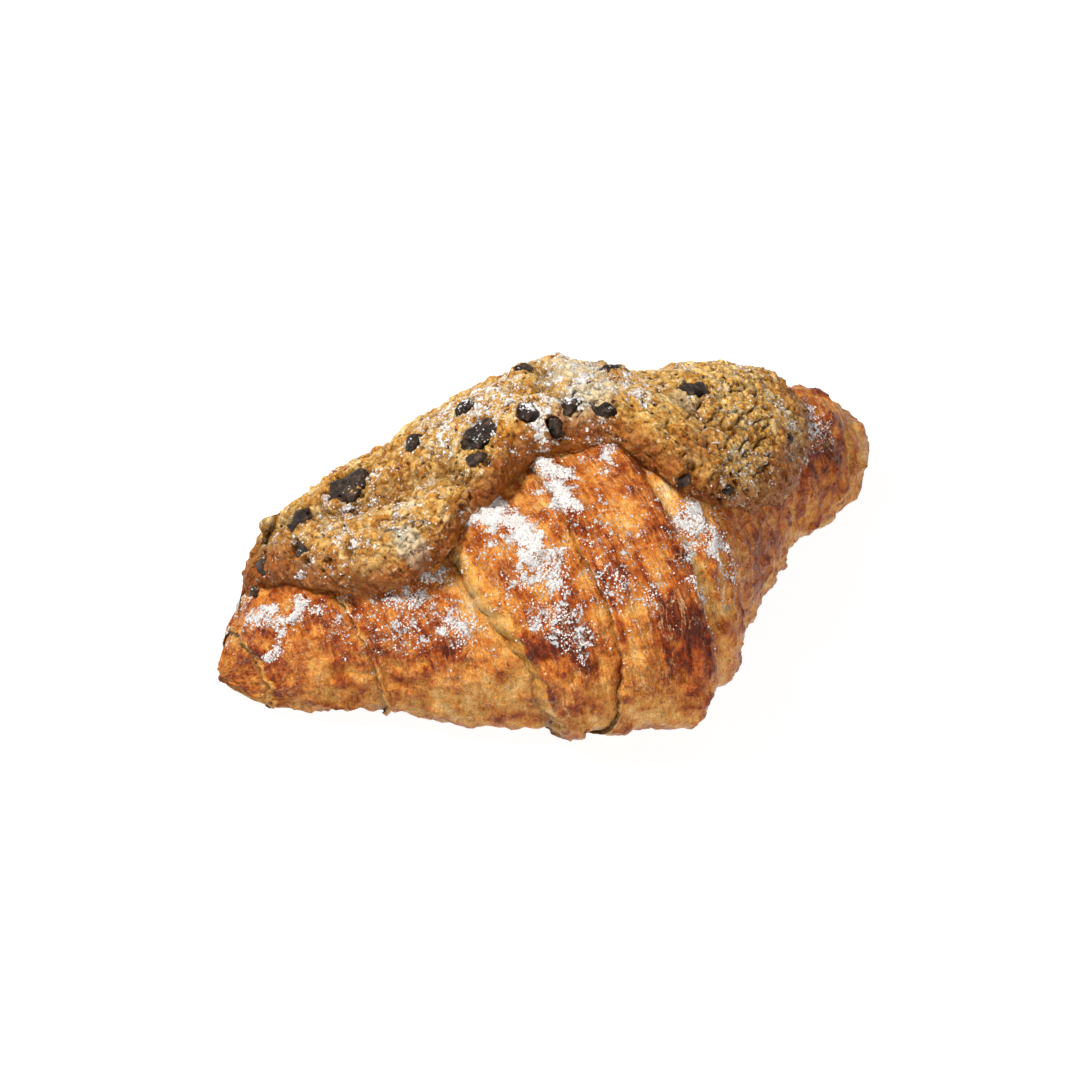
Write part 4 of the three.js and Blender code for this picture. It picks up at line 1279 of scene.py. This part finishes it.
def sugar_tree():
    tree = bpy.data.node_groups.new("sift_sugar", "GeometryNodeTree")
    face = tree.interface
    face.new_socket("Geometry", in_out="INPUT", socket_type="NodeSocketGeometry")
    face.new_socket("Density", in_out="INPUT", socket_type="NodeSocketFloat")
    face.new_socket("Crystal radius", in_out="INPUT", socket_type="NodeSocketFloat")
    face.new_socket("Clump size", in_out="INPUT", socket_type="NodeSocketFloat")
    face.new_socket("Seed", in_out="INPUT", socket_type="NodeSocketInt")
    face.new_socket("Geometry", in_out="OUTPUT", socket_type="NodeSocketGeometry")
    given = add_node(tree, "NodeGroupInput").outputs
    amount = add_node(tree, "GeometryNodeInputNamedAttribute", {"Name": "sugar"}, data_type="FLOAT")
    here = add_node(tree, "GeometryNodeInputPosition")
    per_clump = add_node(tree, "ShaderNodeMath", {0: 1.0, 1: given["Clump size"]}, operation="DIVIDE")
    clumps = add_node(tree, "ShaderNodeTexNoise", {
        "Vector": here, "Scale": per_clump, "Detail": 3.0, "Roughness": 0.7})
    wish = add_node(tree, "ShaderNodeMath", {0: clumps, 1: 2.4, 2: amount}, operation="MULTIPLY_ADD")
    share = add_node(tree, "ShaderNodeMapRange", {
        "Value": wish, "From Min": 1.4, "From Max": 2.0})
    share = add_node(tree, "ShaderNodeMath", {0: share, 1: amount}, operation="MULTIPLY")
    density = add_node(tree, "ShaderNodeMath", {0: share, 1: given["Density"]}, operation="MULTIPLY")
    points = add_node(tree, "GeometryNodeDistributePointsOnFaces", {
        "Mesh": given["Geometry"], "Density": density, "Seed": given["Seed"]}).outputs["Points"]
    crystal = add_node(tree, "GeometryNodeMeshUVSphere", {
        "Segments": 4, "Rings": 2, "Radius": given["Crystal radius"]}).outputs["Mesh"]
    turned = add_node(tree, "FunctionNodeRandomValue", {
        0: (0.0, 0.0, 0.0), 1: (6.28, 6.28, 6.28), "Seed": given["Seed"]}, data_type="FLOAT_VECTOR")
    chance = add_node(tree, "FunctionNodeRandomValue", {
        2: 0.0, 3: 1.0, "Seed": given["Seed"]}, data_type="FLOAT").outputs[1]
    rare = add_node(tree, "ShaderNodeMath", {0: chance, 1: 3.0}, operation="POWER")
    big = add_node(tree, "ShaderNodeMath", {0: rare, 1: 1.6, 2: 0.7}, operation="MULTIPLY_ADD")
    scattered = add_node(tree, "GeometryNodeInstanceOnPoints", {
        "Points": points, "Instance": crystal, "Rotation": turned, "Scale": big})
    whole = add_node(tree, "GeometryNodeRealizeInstances", {"Geometry": scattered})
    painted = add_node(tree, "GeometryNodeSetMaterial", {"Geometry": whole, "Material": icing})
    add_node(tree, "NodeGroupOutput", {"Geometry": painted})
    return tree


SIFT = sugar_tree()


def sift(surface, name, density, radius, clump_size, seed):
    """Scatter sugar on a piece: density in crystals to a square metre where it lies thickest."""
    source = bpy.data.objects.new(name + "_source", surface.data.copy())
    bpy.context.scene.collection.objects.link(source)
    modifier = source.modifiers.new("sift", "NODES")
    modifier.node_group = SIFT
    values = {"Density": density, "Crystal radius": radius, "Clump size": clump_size, "Seed": seed}
    for item in SIFT.interface.items_tree:
        if item.in_out == "INPUT" and item.name in values:
            modifier[item.identifier] = values[item.name]
    bpy.context.view_layer.update()
    mesh = bpy.data.meshes.new_from_object(source.evaluated_get(bpy.context.evaluated_depsgraph_get()))
    mesh.name = name
    bpy.data.objects.remove(source)
    piece = bpy.data.objects.new(name, mesh)
    bpy.context.scene.collection.objects.link(piece)
    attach(piece, "root")
    print(name, "has", len(mesh.polygons) // 8, "crystals")
    return piece


sift(croissant, "icing_sugar_on_croissant", 20.0e6, 0.00013, 0.0022, 3)
sift(cookie, "icing_sugar_on_cookie", 6.0e6, 0.00012, 0.0020, 5)

# %% [markdown]
# ## Studio
#
# One soft light stands above the pastry and behind its left end, so that each flake casts a small
# shadow, and a weaker one fills the shadows from the front. The floor is plain and nearly white.

# %% Floor, lights and camera
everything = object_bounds()
low, high = Vector(everything[0]), Vector(everything[1])
centre, size = (low + high) / 2, high - low

FLOOR = 3.0  # metres from its middle to its edge
floor_mesh = bpy.data.meshes.new("studio_floor")
floor_mesh.from_pydata(
    [(-FLOOR, -FLOOR, low.z), (FLOOR, -FLOOR, low.z), (FLOOR, FLOOR, low.z), (-FLOOR, FLOOR, low.z)],
    [], [(0, 1, 2, 3)])
studio_floor = bpy.data.objects.new("studio_floor", floor_mesh)
bpy.context.scene.collection.objects.link(studio_floor)
paper, tree = new_material("matte_white_paper")
shader = add_node(tree, "ShaderNodeBsdfPrincipled", {
    "Base Color": colour("#6c6c6c"), "Roughness": 0.9,
    "Emission Color": colour("#ffffff"), "Emission Strength": 0.92})
add_node(tree, "ShaderNodeOutputMaterial", {"Surface": shader})
floor_mesh.materials.append(paper)
studio_floor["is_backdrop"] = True


def soft_light(name, toward, distance, width, watts, shade):
    """A square area light that looks at the object from the direction `toward`."""
    data = bpy.data.lights.new(name, "AREA")
    data.size, data.energy, data.color = width, watts, colour(shade)[:3]
    light = bpy.data.objects.new(name, data)
    direction = Vector(toward).normalized()
    light.location = centre + direction * distance
    light.rotation_euler = direction.to_track_quat("Z", "Y").to_euler()
    bpy.context.scene.collection.objects.link(light)


soft_light("key_softbox", toward=(-0.65, 0.28, 1.25), distance=0.9, width=0.2, watts=15.9, shade="#fff4e6")
soft_light("front_fill", toward=(0.05, -1.0, 0.36), distance=1.1, width=0.6, watts=8.0, shade="#ffebd6")
world = bpy.data.worlds.new("studio_white")
bpy.context.scene.world = world
world.use_nodes = True
world.node_tree.nodes["Background"].inputs["Color"].default_value = colour("#ffffff")
world.node_tree.nodes["Background"].inputs["Strength"].default_value = 0.3
bpy.context.scene.view_settings.view_transform = "Standard"

AZIMUTH, ELEVATION = math.radians(-28), math.radians(38)
DISTANCE = 3.535  # in lengths of the piece
back = Vector((
    math.sin(AZIMUTH) * math.cos(ELEVATION), -math.cos(AZIMUTH) * math.cos(ELEVATION), math.sin(ELEVATION)))
cad_low, cad_high = Vector(cad_box[0]), Vector(cad_box[1])
cad_size = cad_high - cad_low
aim = (cad_low + cad_high) / 2 + Vector((-0.067 * cad_size.x, 0.0964 * cad_size.y, -0.121 * cad_size.z))
camera_data = bpy.data.cameras.new("product_camera")
camera_data.lens, camera_data.sensor_width = 90, 36
camera = bpy.data.objects.new("product_camera", camera_data)
camera.location = aim + back * (DISTANCE * cad_size.x)
camera.rotation_euler = back.to_track_quat("Z", "Y").to_euler()
bpy.context.scene.collection.objects.link(camera)
bpy.context.scene.camera = camera

# %% [markdown]
# ## Last: print both sizes and finish
#
# Baked surfaces may stand a little proud of the plain CAD solids, but the object keeps its size.

# %% Size and finish
visual_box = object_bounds()
for key, corners in (("cad", cad_box), ("visual", visual_box)):
    print(key, "box in mm:", [round(1000 * float(b - a), 1) for a, b in zip(corners[0], corners[1])])
